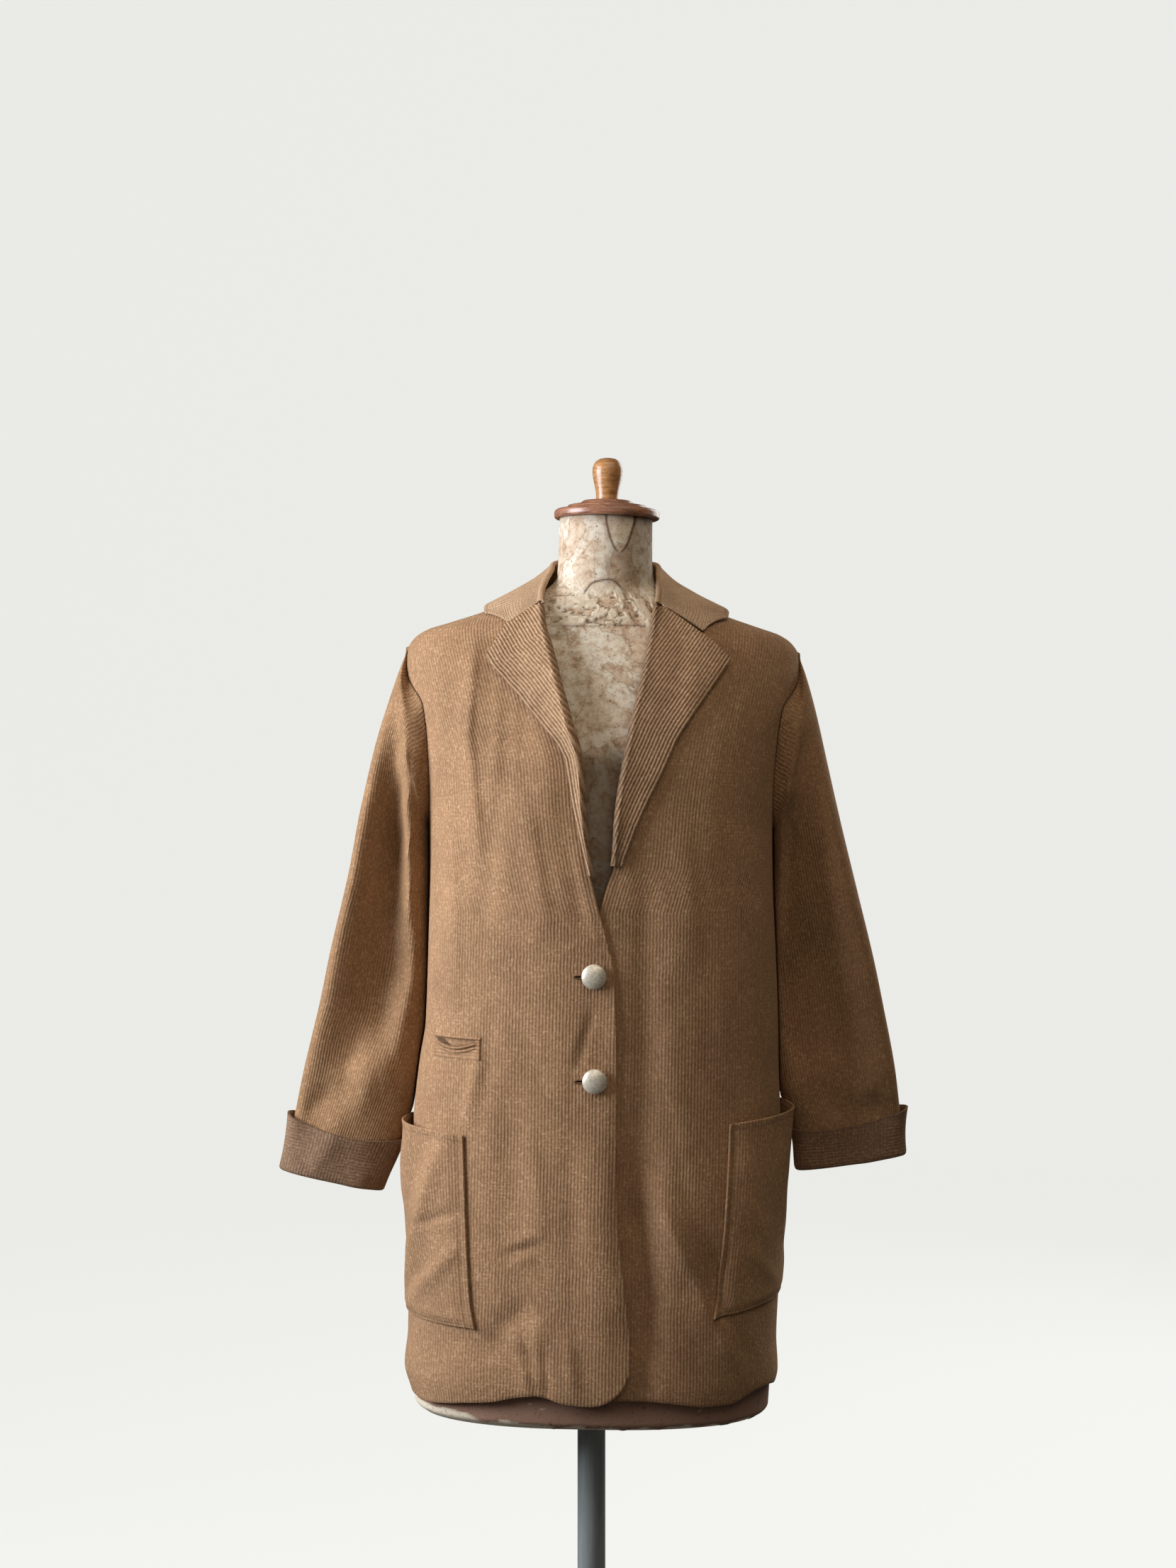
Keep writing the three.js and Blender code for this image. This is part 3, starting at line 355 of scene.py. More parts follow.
@dataclass
class BodyShape:
    """The body of the cardigan as a rounded oval at each height."""

    rows: Rows = (
        # height, left, right, front, back, power
        (20, 188, 186, 118, 112, 2.5),
        (45, 195, 193, 120, 114, 2.5),
        (80, 192, 191, 120, 114, 2.5),
        (150, 192, 193, 120, 113, 2.5),
        (300, 189.5, 192, 119, 104, 2.5),
        (360, 184, 189, 119, 99, 2.5),
        (400, 178.5, 188, 120, 95, 2.5),
        (480, 177, 184, 122, 93, 2.5),
        (550, 176.5, 180, 124, 95, 2.45),
        (600, 178, 179, 125, 98, 2.4),
        (650, 182, 182, 124, 101, 2.35),
        (700, 190, 190, 117, 101, 2.3),
        (735, 200, 200, 108, 98, 2.2),
        (762, 204.5, 204.5, 98, 91, 2.1),
        (785, 203.5, 203.5, 85, 82, 2.05),
        (796, 197, 197, 78, 77, 2),
        (805, 184, 184, 74, 73, 2),
        (812, 163, 163, 71, 70.5, 2),
        (824, 127, 127, 65, 66, 2),
        (836, 98, 98, 59, 62, 2),
        (848, 70, 70, 52, 58, 2),
    )
    front_folds: tuple[Fold, ...] = folds((
        (-168, 780, -160, 560, 12, 3.5, 0.2),
        (-160, 560, -158, 410, 14, 3),
        (-118, 770, -112, 620, 13, 2.5),
        (-117, 385, -134, 300, 7, 4, -0.3),
        (-58, 120, -42, 40, 12, 3.5),
        (-160, 95, -95, 70, 10, -2.5),
        (148, 520, 165, 320, 13, 4, 0.3),
        (120, 740, 112, 560, 16, 2.5),
        (45, 560, 50, 80, 12, -3),
        (53, 250, 108, 150, 15, 5, -0.2),
        (108, 150, 158, 50, 13, 6, -0.3),
        (118, 190, 128, 95, 10, -5),
    ))
    fine_front_folds: tuple[Fold, ...] = folds((
        (-131, 792, -137, 680, 9, 5.2, 0.35),
        (-137, 712, -122, 572, 10, 5.4, 0.35),
        (-152, 640, -143, 396, 9, 4.2, 0.3),
        (-115, 790, -116, 640, 10, -4.2, 0.2),
        (-104, 640, -120, 470, 12, -2.4, 0.2),
        (-98, 792, -90, 636, 21, -6.0, -0.2),
        (-92, 760, -84, 640, 9, 1.6, 0.2),
        (-80, 640, -50, 500, 11, 2.2, 0.3),
        (-92, 620, -98, 480, 15, 1.2, -0.2),
        (-60, 700, -48, 590, 14, 1.2, 0.3),
        (-62, 580, -68, 450, 14, 1.0, 0.2),
        (-104, 420, -112, 330, 7, -1.4, 0.2),
        (-36, 590, -14, 500, 8, -1.6, 0.3),
        (-4, 424, -19, 364, 6, -1.8, 0.4),
        (-14, 418, -28, 366, 6, 1.0, 0.2),
        (-92, 175, -56, 189, 5, -2.2, 0.4),
        (-88, 187, -50, 200, 6, 1.6),
        (-84, 168, -58, 178, 5, 1.4),
        (6, 330, 4, 60, 26, 3.6, 0.3),
        (-84, 340, -84, 190, 17, -2.6),
        (-104, 92, -60, 128, 12, -2.6),
        (-110, 96, -52, 64, 8, -2.4),
        (-78, 100, -62, 34, 7, 3.0, 0.3),
        (-50, 96, -44, 30, 6, -3.2, -0.2),
        (-28, 100, -18, 36, 8, 2.4),
        (-150, 74, -112, 40, 9, 2.4),
        (-70, 330, -52, 190, 12, 1.5, 0.3),
        (-30, 300, -18, 150, 12, -1.4),
        (92, 790, 84, 650, 12, 1.8, -0.2),
        (142, 745, 132, 655, 8, 1.8, -0.3),
        (84, 610, 96, 470, 11, 1.6, 0.2),
        (118, 500, 132, 360, 10, 1.6),
        (58, 470, 70, 330, 12, 1.4),
        (70, 330, 92, 230, 9, -1.8, 0.2),
        (28, 260, 60, 110, 11, -2.0),
        (58, 545, 62, 50, 20, -3.4, 0.3),
        (34, 330, 62, 46, 14, -4.2, 0.1),
        (62, 236, 99, 152, 14, 2.2, 0.5),
        (99, 152, 147, 56, 12, 4.4, 0.5),
        (100, 205, 124, 132, 8, -3.6, -0.2),
        (120, 140, 162, 58, 8, -4.6, -0.2),
        (150, 130, 170, 66, 7, 2.2),
        (56, 80, 74, 30, 8, 2.2),
    ))
    back_folds: tuple[Fold, ...] = folds((
        (-120, 700, -95, 420, 17, 4),
        (-95, 420, -105, 60, 20, 4),
        (-45, 520, -38, 70, 16, -3),
        (15, 430, 22, 40, 20, 4.5),
        (70, 560, 76, 60, 16, -3),
        (125, 690, 102, 430, 16, 3.5),
        (102, 430, 122, 60, 18, 4),
    ))
    fine_back_folds: tuple[Fold, ...] = folds((
        (-60, 760, -72, 600, 12, 1.8),
        (-150, 640, -128, 520, 9, 2.2, 0.3),
        (150, 650, 132, 520, 9, 2.2, -0.3),
        (50, 740, 60, 610, 11, 1.6),
        (-20, 330, -10, 150, 10, 1.8, 0.2),
        (-70, 250, -66, 40, 9, 2.2, -0.3),
        (48, 240, 54, 40, 9, 2.0, 0.3),
        (92, 200, 96, 40, 8, -2.4),
        (-118, 180, -126, 40, 8, -2.4, 0.2),
        (-60, 770, 60, 768, 14, -1.5),
    ))
    rumple_height: float = 0.9
    ripple_height: float = 0.35
    calm_shoulders: tuple[float, float] = (730.0, 800.0)
    left: Curve = field(init=False)
    right: Curve = field(init=False)
    front: Curve = field(init=False)
    back: Curve = field(init=False)
    power: Curve = field(init=False)
    rumple: Unevenness = field(init=False)
    ripple: Unevenness = field(init=False)

    def __post_init__(self) -> None:
        """Makes a curve of each column, and the small unevenness of worn knit."""
        self.left, self.right, self.front, self.back, self.power = curves(self.rows)
        self.rumple = Unevenness(11, 46, 70)
        self.ripple = Unevenness(12, 17, 34)

    def half_sizes(self, x: Array, y: Array, height: Array) -> tuple[Array, Array]:
        """Returns the half width and the half depth on the side where each x and y lies."""
        half = np.where(x < 0, self.left(height), self.right(height))
        return half, np.where(y < 0, self.front(height), self.back(height))

    def plain(self, angle: Array, height: Array) -> tuple[Array, Array]:
        """Returns x and y of the body without its folds, at angles in degrees."""
        turn = np.radians(angle)
        half, depth = self.half_sizes(np.sin(turn), -np.cos(turn), height)
        return oval(turn, half, depth, self.power(height))

    def point(self, angle: Array, height: Array) -> Array:
        """Works out points of the cloth's outer face.

        Args:
            angle: Degrees round the body from the front, rising to the right.
            height: Heights above the underside of the form.

        Returns:
            The points, with the folds and the knit's unevenness on them.
        """
        angle, height = np.broadcast_arrays(np.asarray(angle, float), np.asarray(height, float))
        x, y = self.plain(angle, height)
        cosine = np.cos(np.radians(angle))
        front = lift_of(self.front_folds + self.fine_front_folds, x, height)
        back = lift_of(self.back_folds + self.fine_back_folds, x, height)
        lift = np.where(cosine > 0, front, back)
        calm = 1 - ease(height, *self.calm_shoulders)
        elsewhere = x + 300 * (cosine < 0)
        lift = lift + calm * (self.rumple_height * self.rumple(elsewhere, height)
                              + self.ripple_height * self.ripple(elsewhere, height))
        return np.stack([x, y - lift * cosine, height + 0 * x], axis=-1)

    def clear_of(self, points: Array, gap: Array) -> Array:
        """Moves points sideways out of the body wherever they are nearer than a gap.

        Args:
            points: Points beside the body.
            gap: The least distance at each, in millimetres.

        Returns:
            The points, moved.
        """
        x, y, height = points[..., 0], points[..., 1], points[..., 2]
        half, depth = self.half_sizes(x, y, height)
        half, depth = half + gap, depth + gap
        power = self.power(height)
        left_over = np.clip(1 - (np.abs(y) / depth) ** power, 0, 1)
        reach = half * left_over ** (1 / power)
        moved = points.copy()
        moved[..., 0] = np.sign(x) * np.maximum(np.abs(x), reach)
        return moved

    def angle_at(self, x: float, height: float) -> float:
        """Returns the angle from the front, in degrees, at which the front has an x."""
        half = float(self.left(height) if x < 0 else self.right(height))
        share = min(abs(x) / half, 1.0)
        return math.copysign(math.degrees(math.asin(share ** (float(self.power(height)) / 2))), x)

    def spread(self, height: float, start: float, end: float,
               shares: Array) -> tuple[Array, Array]:
        """Returns angles at given shares of the cloth's length between two angles.

        Args:
            height: The height round which the length is measured.
            start: The first angle, in degrees.
            end: The last angle.
            shares: Shares of the length, from 0 to 1.

        Returns:
            The angles, and the length of cloth from the centre line to each.
        """
        samples = np.linspace(start, end, 120)
        line = np.stack(self.plain(samples, height), axis=-1)
        run = np.concatenate([[0], np.cumsum(np.linalg.norm(np.diff(line, axis=0), axis=1))])
        angles = np.interp(shares * run[-1], run, samples)
        centre = 180.0 if min(start, end) > 45 else 0.0
        rising = 1 if end > start else -1
        at_centre = np.interp(centre, samples[::rising], run[::rising])
        return angles, shares * run[-1] - at_centre


# The armhole as angles round the body: height, on the front, on the back
ARMHOLE: Rows = (
    (600, 93, 93), (607, 85, 99), (622, 79.5, 104), (645, 76, 108), (675, 73, 110), (705, 69.5, 110),
    (727, 67.5, 108), (745, 75, 104), (757, 83, 98), (770, 87, 94), (782, 89, 91.5), (793, 90, 90),
)
ARMHOLE_FRONT, ARMHOLE_BACK = curves(ARMHOLE)


def outer_angle(level: float, armhole: Curve) -> float:
    """Returns the angle of a panel's outer edge: side seam, armhole or shoulder seam."""
    if level < ARMPIT:
        return SIDE_SEAM_ANGLE
    return float(armhole(level)) if level < SHOULDER_TIP else 90.0


def panel_levels(count: int) -> Array:
    """Shares rows out from the hem to the neck, with rows at the armhole's own ends.

    Args:
        count: About how many rows.

    Returns:
        Their heights.
    """
    limits = (HEM_HEIGHT, ARMPIT, SHOULDER_TIP, NECK_POINT)
    parts = [np.linspace(low, high, int(count * share))
             for low, high, share in zip(limits, limits[1:], (0.68, 0.24, 0.09))]
    return np.concatenate([parts[0], parts[1][1:], parts[2][1:]])


def follow_hem(level: float, hem: Array) -> Array:
    """Returns the heights of a row: level, but near the hem it follows the hem's line."""
    return level + (hem - HEM_HEIGHT) * (1 - ease(level, HEM_HEIGHT, HEM_HEIGHT + HEM_BLEND))


# Making meshes


def to_row(points: Array) -> Array:
    """Returns points of the worn, leaning frame in the row frame, in metres."""
    cosine, sine = math.cos(LEAN), math.sin(LEAN)
    x = points[..., 0] * cosine + points[..., 2] * sine
    z = FORM_BOTTOM + points[..., 2] * cosine - points[..., 0] * sine
    return np.stack([x, points[..., 1], z], axis=-1) / 1000


def object_from(mesh: Mesh, name: str, material: Material) -> Object:
    """Links a new object that shows the mesh smoothly in one material.

    Args:
        mesh: The finished mesh, in the row frame.
        name: The piece's name.
        material: Its finish.

    Returns:
        The object, which rides on the one body.
    """
    piece = bpy.data.objects.new(name, mesh)
    bpy.context.scene.collection.objects.link(piece)
    mesh.materials.append(material)
    mesh.shade_smooth()
    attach(piece, "root")
    log.info("%s: %d faces", name, len(mesh.polygons))
    return piece


def mesh_from_bmesh(bm: bmesh.types.BMesh, name: str) -> Mesh:
    """Returns a mesh made from a bmesh, which is freed."""
    mesh = bpy.data.meshes.new(name)
    bm.to_mesh(mesh)
    bm.free()
    return mesh


def cloth_mesh(panel: Panel, name: str, marks: dict[str, Array]) -> Mesh:
    """Lays a grid of quads on a panel's points.

    Args:
        panel: The cut piece.
        name: The mesh's name.
        marks: Values for each point, such as how dark a seam makes it.

    Returns:
        A mesh with a map of the flat cloth, in metres, and an attribute for each mark.
    """
    rows, columns = panel.points.shape[:2]
    bm = bmesh.new()
    flat = bm.loops.layers.uv.new("flat_cloth")
    bmesh.ops.create_grid(bm, x_segments=columns - 1, y_segments=rows - 1, size=0.5)
    layers = {key: bm.verts.layers.float.new(key) for key in marks}
    bm.verts.index_update()
    placed = to_row(panel.points)
    where = {}
    for vertex in bm.verts:
        c = round((vertex.co.x + 0.5) * (columns - 1))
        r = round((vertex.co.y + 0.5) * (rows - 1))
        where[vertex.index] = (r, c)
        vertex.co = placed[r, c]
        for key, layer in layers.items():
            vertex[layer] = float(marks[key][r, c])
    for face in bm.faces:
        for loop in face.loops:
            loop[flat].uv = panel.flat[where[loop.vert.index]] / 1000
    bm.normal_update()
    bm.faces.ensure_lookup_table()
    middle = bm.faces[len(bm.faces) // 2]
    r, c = where[middle.verts[0].index]
    if middle.normal.dot(Vector(panel.normals[r, c])) < 0:
        bmesh.ops.reverse_faces(bm, faces=bm.faces)
    if panel.wrap:
        bmesh.ops.remove_doubles(bm, verts=bm.verts, dist=1e-6)
    return mesh_from_bmesh(bm, name)


def close_up(mesh: Mesh) -> None:
    """Joins points that meet, caps open rims and turns every face outward."""
    bm = bmesh.new()
    bm.from_mesh(mesh)
    bmesh.ops.remove_doubles(bm, verts=bm.verts, dist=1e-6)
    rims = [edge for edge in bm.edges if edge.is_boundary]
    if rims:
        bmesh.ops.holes_fill(bm, edges=rims, sides=0)
    bmesh.ops.recalc_face_normals(bm, faces=bm.faces)
    bm.to_mesh(mesh)
    bm.free()


def give_thickness(piece: Object, wall: float, rounding: float) -> None:
    """Gives a sheet its wall, inward from its outer face, with softly rounded edges.

    Args:
        piece: The sheet.
        wall: The wall's thickness, in millimetres.
        rounding: The rounding of its cut edges.
    """
    solid = piece.modifiers.new("wall", "SOLIDIFY")
    solid.thickness = wall / 1000
    solid.offset = -1
    edges = piece.modifiers.new("rounded_edges", "BEVEL")
    edges.width = rounding / 1000
    edges.segments = 2
    edges.limit_method = "ANGLE"
    edges.angle_limit = math.radians(55)


def spun_mesh(profile: Rows, steps: int, name: str, centre: tuple[float, float] = (0, 0)) -> Mesh:
    """Turns a profile round the vertical, as a lathe does.

    Args:
        profile: Rows of radius and height, in millimetres in the piece's own frame.
        steps: Segments round the turn.
        name: The mesh's name.
        centre: Where the axis stands.

    Returns:
        A closed mesh in millimetres, its faces outward.
    """
    bm = bmesh.new()
    line = [bm.verts.new((centre[0] + radius, centre[1], height)) for radius, height in profile]
    edges = [bm.edges.new(pair) for pair in zip(line, line[1:])]
    bmesh.ops.spin(bm, geom=line + edges, cent=(*centre, 0), axis=(0, 0, 1), angle=2 * math.pi,
                   steps=steps, use_merge=True, use_duplicate=False)
    bmesh.ops.remove_doubles(bm, verts=bm.verts, dist=1e-4)
    bmesh.ops.recalc_face_normals(bm, faces=bm.faces)
    return mesh_from_bmesh(bm, name)


def smooth_profile(points: Rows, count: int) -> Rows:
    """Fills in a profile with points on a soft curve.

    Args:
        points: The few rows of radius and height that it passes through.
        count: How many points to give.

    Returns:
        The full profile.
    """
    at = np.concatenate([[0], np.cumsum(np.hypot(*np.diff(np.array(points), axis=0).T))])
    t = np.linspace(0, at[-1], count)
    radius, height = (Curve(tuple(at), column)(t) for column in zip(*points))
    return tuple(zip(radius.tolist(), height.tolist()))


def place_mesh(mesh: Mesh, move: Callable[[Array], Array]) -> None:
    """Moves each corner of a mesh by a function of an array of points.

    Args:
        mesh: The mesh, in millimetres.
        move: Takes and returns an array of points; returns them in metres.
    """
    points = np.zeros(len(mesh.vertices) * 3)
    mesh.vertices.foreach_get("co", points)
    mesh.vertices.foreach_set("co", move(points.reshape(-1, 3)).ravel())
    mesh.update()


# Finishes


def linear(code: str) -> tuple[float, float, float, float]:
    """Returns a colour written as an sRGB hex value as linear light, with full alpha."""
    parts = [int(code[i:i + 2], 16) / 255 for i in (1, 3, 5)]
    return (*(c / 12.92 if c <= 0.04045 else ((c + 0.055) / 1.055) ** 2.4 for c in parts), 1.0)


def set_inputs(node: Node, inputs: dict[str | int, object]) -> None:
    """Gives a node's inputs their values and links.

    Args:
        node: The node.
        inputs: For each input, by name or number, a value or the socket linked to it.
    """
    for key, value in inputs.items():
        if isinstance(value, NodeSocket):
            node.id_data.links.new(value, node.inputs[key])
        else:
            node.inputs[key].default_value = value


def add_node(tree: NodeTree, kind: str, inputs: dict[str | int, object], **settings: str) -> Node:
    """Adds a shader node with its values, links and settings.

    Args:
        tree: The material's tree.
        kind: The node's type, without the words ShaderNode before it.
        inputs: Its inputs, as set_inputs takes them.
        settings: Properties of the node.

    Returns:
        The node.
    """
    node = tree.nodes.new("ShaderNode" + kind)
    for key, value in settings.items():
        setattr(node, key, value)
    set_inputs(node, inputs)
    return node


def set_ramp(node: Node, stops: tuple[tuple[float, str], ...]) -> Node:
    """Gives a colour ramp its stops.

    Args:
        node: The ramp.
        stops: Places from 0 to 1, rising, and sRGB hex values.

    Returns:
        The ramp.
    """
    elements = node.color_ramp.elements
    while len(elements) > 1:
        elements.remove(elements[-1])
    elements[0].position, elements[0].color = stops[0][0], linear(stops[0][1])
    for place, code in stops[1:]:
        elements.new(place).color = linear(code)
    return node


def new_material(name: str) -> tuple[Material, NodeTree, Node]:
    """Returns a new material, its tree and its surface shader."""
    material = bpy.data.materials.new(name)
    material.use_nodes = True
    tree = material.node_tree
    return material, tree, tree.nodes["Principled BSDF"]


def wave_scale(pitch: float) -> float:
    """Returns the wave texture's scale for stripes a pitch apart, in millimetres."""
    return 2 * math.pi / 20 / (pitch / 1000)


def noise_scale(size: float) -> float:
    """Returns the noise texture's scale for cells of a size, in millimetres."""
    return 1000 / size


@dataclass(frozen=True)
class WoolKnit:
    """Fine-gauge wool knit in a heathered camel brown, soft and a little fuzzy.

    Wales run along the cloth: each ridge is drawn paler and each groove darker,
    as painted light and shade on the knit's relief, broken up by paler and
    darker fibres and by worn, felted areas where the courses show across them
    instead. The real wales are about 2 mm apart, too fine to show at the
    picture's size, so they are drawn 3.4 mm apart.
    """

    name: str
    # ridge and groove: painted light on the tops of the wales and painted shade in their grooves
    ridge: str = "#B8916C"
    groove: str = "#836246"
    fibre: str = "#D0AE88"
    pitch: float = 3.4
    fibre_tuft: float = 2.941
    felted_patch: float = 41.67
    worn_area: float = 142.9
    contrast: float = 0.36
    courses: float = 0.35
    course_pitch: float = 3.4
    depth: float = 0.48
    wander: float = 0.9

    def build(self) -> Material:
        """Returns the material."""
        material, tree, shader = new_material(self.name)
        flat = add_node(tree, "UVMap", {}, uv_map="flat_cloth").outputs["UV"]
        solid = add_node(tree, "TexCoord", {}).outputs["Object"]
        heather = add_node(tree, "TexNoise", {
            "Vector": solid, "Scale": noise_scale(self.fibre_tuft), "Detail": 4.0,
            "Roughness": 0.72}).outputs["Fac"]
        patches = add_node(tree, "TexNoise", {
            "Vector": solid, "Scale": noise_scale(self.felted_patch), "Detail": 5.0,
            "Roughness": 0.62}).outputs["Fac"]
        relief, stripes = self.stitches(tree, flat, heather, patches)
        even = add_node(tree, "Mix", {
            "Factor": self.contrast, "A": linear(mid_colour(self.ridge, self.groove)), "B": stripes},
            data_type="RGBA")
        fibre_at = add_node(tree, "MapRange", {
            "Value": heather, "From Min": 0.51, "From Max": 0.7, "To Max": 0.7})
        fibred = add_node(tree, "Mix", {
            "Factor": fibre_at.outputs["Result"], "A": even.outputs["Result"], "B": linear(self.fibre)},
            data_type="RGBA")
        dark_at = add_node(tree, "MapRange", {
            "Value": heather, "From Min": 0.48, "From Max": 0.31, "To Max": 0.7})
        flecked = add_node(tree, "Mix", {
            "Factor": dark_at.outputs["Result"], "A": fibred.outputs["Result"], "B": linear(self.groove)},
            data_type="RGBA")
        coloured = add_node(tree, "VectorMath", {
            0: flecked.outputs["Result"], "Scale": self.shade(tree, solid, patches)}, operation="SCALE")
        bump = add_node(tree, "Bump", {"Strength": self.depth, "Distance": 0.0007, "Height": relief})
        set_inputs(shader, {
            "Base Color": coloured.outputs["Vector"], "Normal": bump.outputs["Normal"], "Roughness": 0.92,
            "Specular IOR Level": 0.2, "Sheen Weight": 0.18, "Sheen Roughness": 0.45,
            "Sheen Tint": linear("#D9B78A")})
        return material

    def stitches(self, tree: NodeTree, flat: NodeSocket, heather: NodeSocket,
                 patches: NodeSocket) -> tuple[NodeSocket, NodeSocket]:
        """Adds the wales, with the courses across them where the cloth is felted.

        Args:
            tree: The material's tree.
            flat: The flat cloth's map.
            heather: The fibres' fine noise.
            patches: The felted areas' noise.

        Returns:
            The relief's height and the stripes' colour.
        """
        wales = add_node(tree, "TexWave", {
            "Vector": flat, "Scale": wave_scale(self.pitch), "Distortion": self.wander,
            "Detail": 1.5, "Detail Scale": 2.0}, bands_direction="X")
        rows = add_node(tree, "TexWave", {
            "Vector": flat, "Scale": wave_scale(self.course_pitch), "Distortion": 3.4,
            "Detail": 2.0, "Detail Scale": 1.6}, bands_direction="Y")
        felted = add_node(tree, "MapRange", {
            "Value": patches, "From Min": 0.42, "From Max": 0.6, "To Max": self.courses})
        mixed = add_node(tree, "Mix", {
            "Factor": felted.outputs["Result"], "A": wales.outputs["Fac"], "B": rows.outputs["Fac"]},
            data_type="FLOAT")
        # The stripes' colour is painted light and shade: the ridge colour on each wale's top, the groove
        # colour in its groove
        stripes = add_node(tree, "Mix", {
            "Factor": mixed.outputs["Result"], "A": linear(self.groove), "B": linear(self.ridge)},
            data_type="RGBA")
        relief = add_node(tree, "Math", {
            0: heather, 1: 0.9, 2: mixed.outputs["Result"]}, operation="MULTIPLY_ADD")
        return relief.outputs["Value"], stripes.outputs["Result"]

    def shade(self, tree: NodeTree, solid: NodeSocket, patches: NodeSocket) -> NodeSocket:
        """Adds the soft unevenness of the colour, darker along stitched and bound lines
        and where the groove attribute carries painted shade: the lapels' rolls and the ticket pocket's
        mouth.

        Args:
            tree: The material's tree.
            solid: The object's own coordinates.
            patches: The felted areas' noise.

        Returns:
            What the colour is multiplied by.
        """
        worn = add_node(tree, "TexNoise", {
            "Vector": solid, "Scale": noise_scale(self.worn_area), "Detail": 3.0})
        tone = add_node(tree, "MapRange", {
            "Value": patches, "From Min": 0.3, "From Max": 0.7, "To Min": 0.88, "To Max": 1.1})
        wide = add_node(tree, "MapRange", {
            "Value": worn.outputs["Fac"], "From Min": 0.3, "From Max": 0.7, "To Min": 0.93, "To Max": 1.06})
        both = add_node(tree, "Math", {
            0: tone.outputs["Result"], 1: wide.outputs["Result"]}, operation="MULTIPLY")
        # The groove attribute darkens stitching and seams, and paints shade on the lapels' rolls and in the
        # ticket pocket's mouth
        seam = add_node(tree, "Attribute", {}, attribute_name="groove")
        kept = add_node(tree, "MapRange", {
            "Value": seam.outputs["Fac"], "To Min": 1.0, "To Max": 0.3})
        factor = add_node(tree, "Math", {
            0: both.outputs["Value"], 1: kept.outputs["Result"]}, operation="MULTIPLY")
        return factor.outputs["Value"]


def mid_colour(first: str, second: str) -> str:
    """Returns the colour half-way between two sRGB hex values."""
    pairs = [(int(first[i:i + 2], 16), int(second[i:i + 2], 16)) for i in (1, 3, 5)]
    return "#" + "".join(f"{(a + b) // 2:02X}" for a, b in pairs)


@dataclass(frozen=True)
class PapierMache:
    """Old papier-mache: a pale paper skin, scuffed, water-stained and flaking.

    The skin is mottled by the glue, pale patches of damp end in darker tide
    lines, and pits and specks are dark. Attributes add drawn stains, bare brown
    pulp, cream chips, the brown paint near the lower edge, and painted shade that
    darkens the neck's right side and the lower chest.
    """

    name: str = "aged_papier_mache"
    glue_mottle: float = 9.524
    damp_patch: float = 58.82
    pit: float = 3.03

    def build(self) -> Material:
        """Returns the material."""
        material, tree, shader = new_material(self.name)
        solid = add_node(tree, "TexCoord", {}).outputs["Object"]
        mottle = add_node(tree, "TexNoise", {
            "Vector": solid, "Scale": noise_scale(self.glue_mottle), "Detail": 8.0,
            "Roughness": 0.72})
        damp = add_node(tree, "TexNoise", {
            "Vector": solid, "Scale": noise_scale(self.damp_patch), "Detail": 4.0,
            "Roughness": 0.5, "Distortion": 0.3})
        specks = add_node(tree, "TexNoise", {
            "Vector": solid, "Scale": noise_scale(self.pit), "Detail": 3.0,
            "Roughness": 0.6})
        skin = set_ramp(add_node(tree, "ValToRGB", {"Fac": mottle.outputs["Fac"]}), (
            (0.34, "#BCA189"), (0.43, "#D9C5AF"), (0.49, "#E6D7C4"), (0.55, "#F0E6D7"),
            (0.68, "#F5EFE4")))
        tide = set_ramp(add_node(tree, "ValToRGB", {"Fac": damp.outputs["Fac"]}), (
            (0.34, "#E6D3BC"), (0.452, "#D9C3A8"), (0.466, "#A98E70"), (0.48, "#F1EFE4"),
            (0.56, "#F7F5EC"), (0.598, "#EFE8D8"), (0.61, "#C6AD8F"), (0.63, "#EBDECA")))
        toned = add_node(tree, "Mix", {
            "Factor": 0.65, "A": skin.outputs["Color"], "B": tide.outputs["Color"]},
            data_type="RGBA", blend_type="MULTIPLY")
        colour = toned.outputs["Result"]
        # The stain layer carries real stains and also painted shade on the neck's right side and the lower
        # chest
        for mark, code in (("paint", "#9A7864"), ("stain_and_painted_shade", "#553C29"), ("chip", "#E9DBC2")):
            amount = add_node(tree, "Attribute", {}, attribute_name=mark)
            layer = add_node(tree, "Mix", {
                "Factor": amount.outputs["Fac"], "A": colour, "B": linear(code)}, data_type="RGBA")
            colour = layer.outputs["Result"]
        speck_at = set_ramp(add_node(tree, "ValToRGB", {"Fac": specks.outputs["Fac"]}), (
            (0.26, "#5E4C39"), (0.33, "#DCD5C9"), (0.42, "#FFFFFF")))
        speckled = add_node(tree, "Mix", {
            "Factor": 1.0, "A": colour, "B": speck_at.outputs["Color"]},
            data_type="RGBA", blend_type="MULTIPLY")
        grain = add_node(tree, "Math", {
            0: specks.outputs["Fac"], 1: 0.35, 2: mottle.outputs["Fac"]}, operation="MULTIPLY_ADD")
        bump = add_node(tree, "Bump", {
            "Strength": 0.55, "Distance": 0.0014, "Height": grain.outputs["Value"]})
        rough = add_node(tree, "MapRange", {
            "Value": mottle.outputs["Fac"], "To Min": 0.66, "To Max": 0.92})
        set_inputs(shader, {
            "Base Color": speckled.outputs["Result"], "Normal": bump.outputs["Normal"],
            "Roughness": rough.outputs["Result"], "Specular IOR Level": 0.28})
        return material


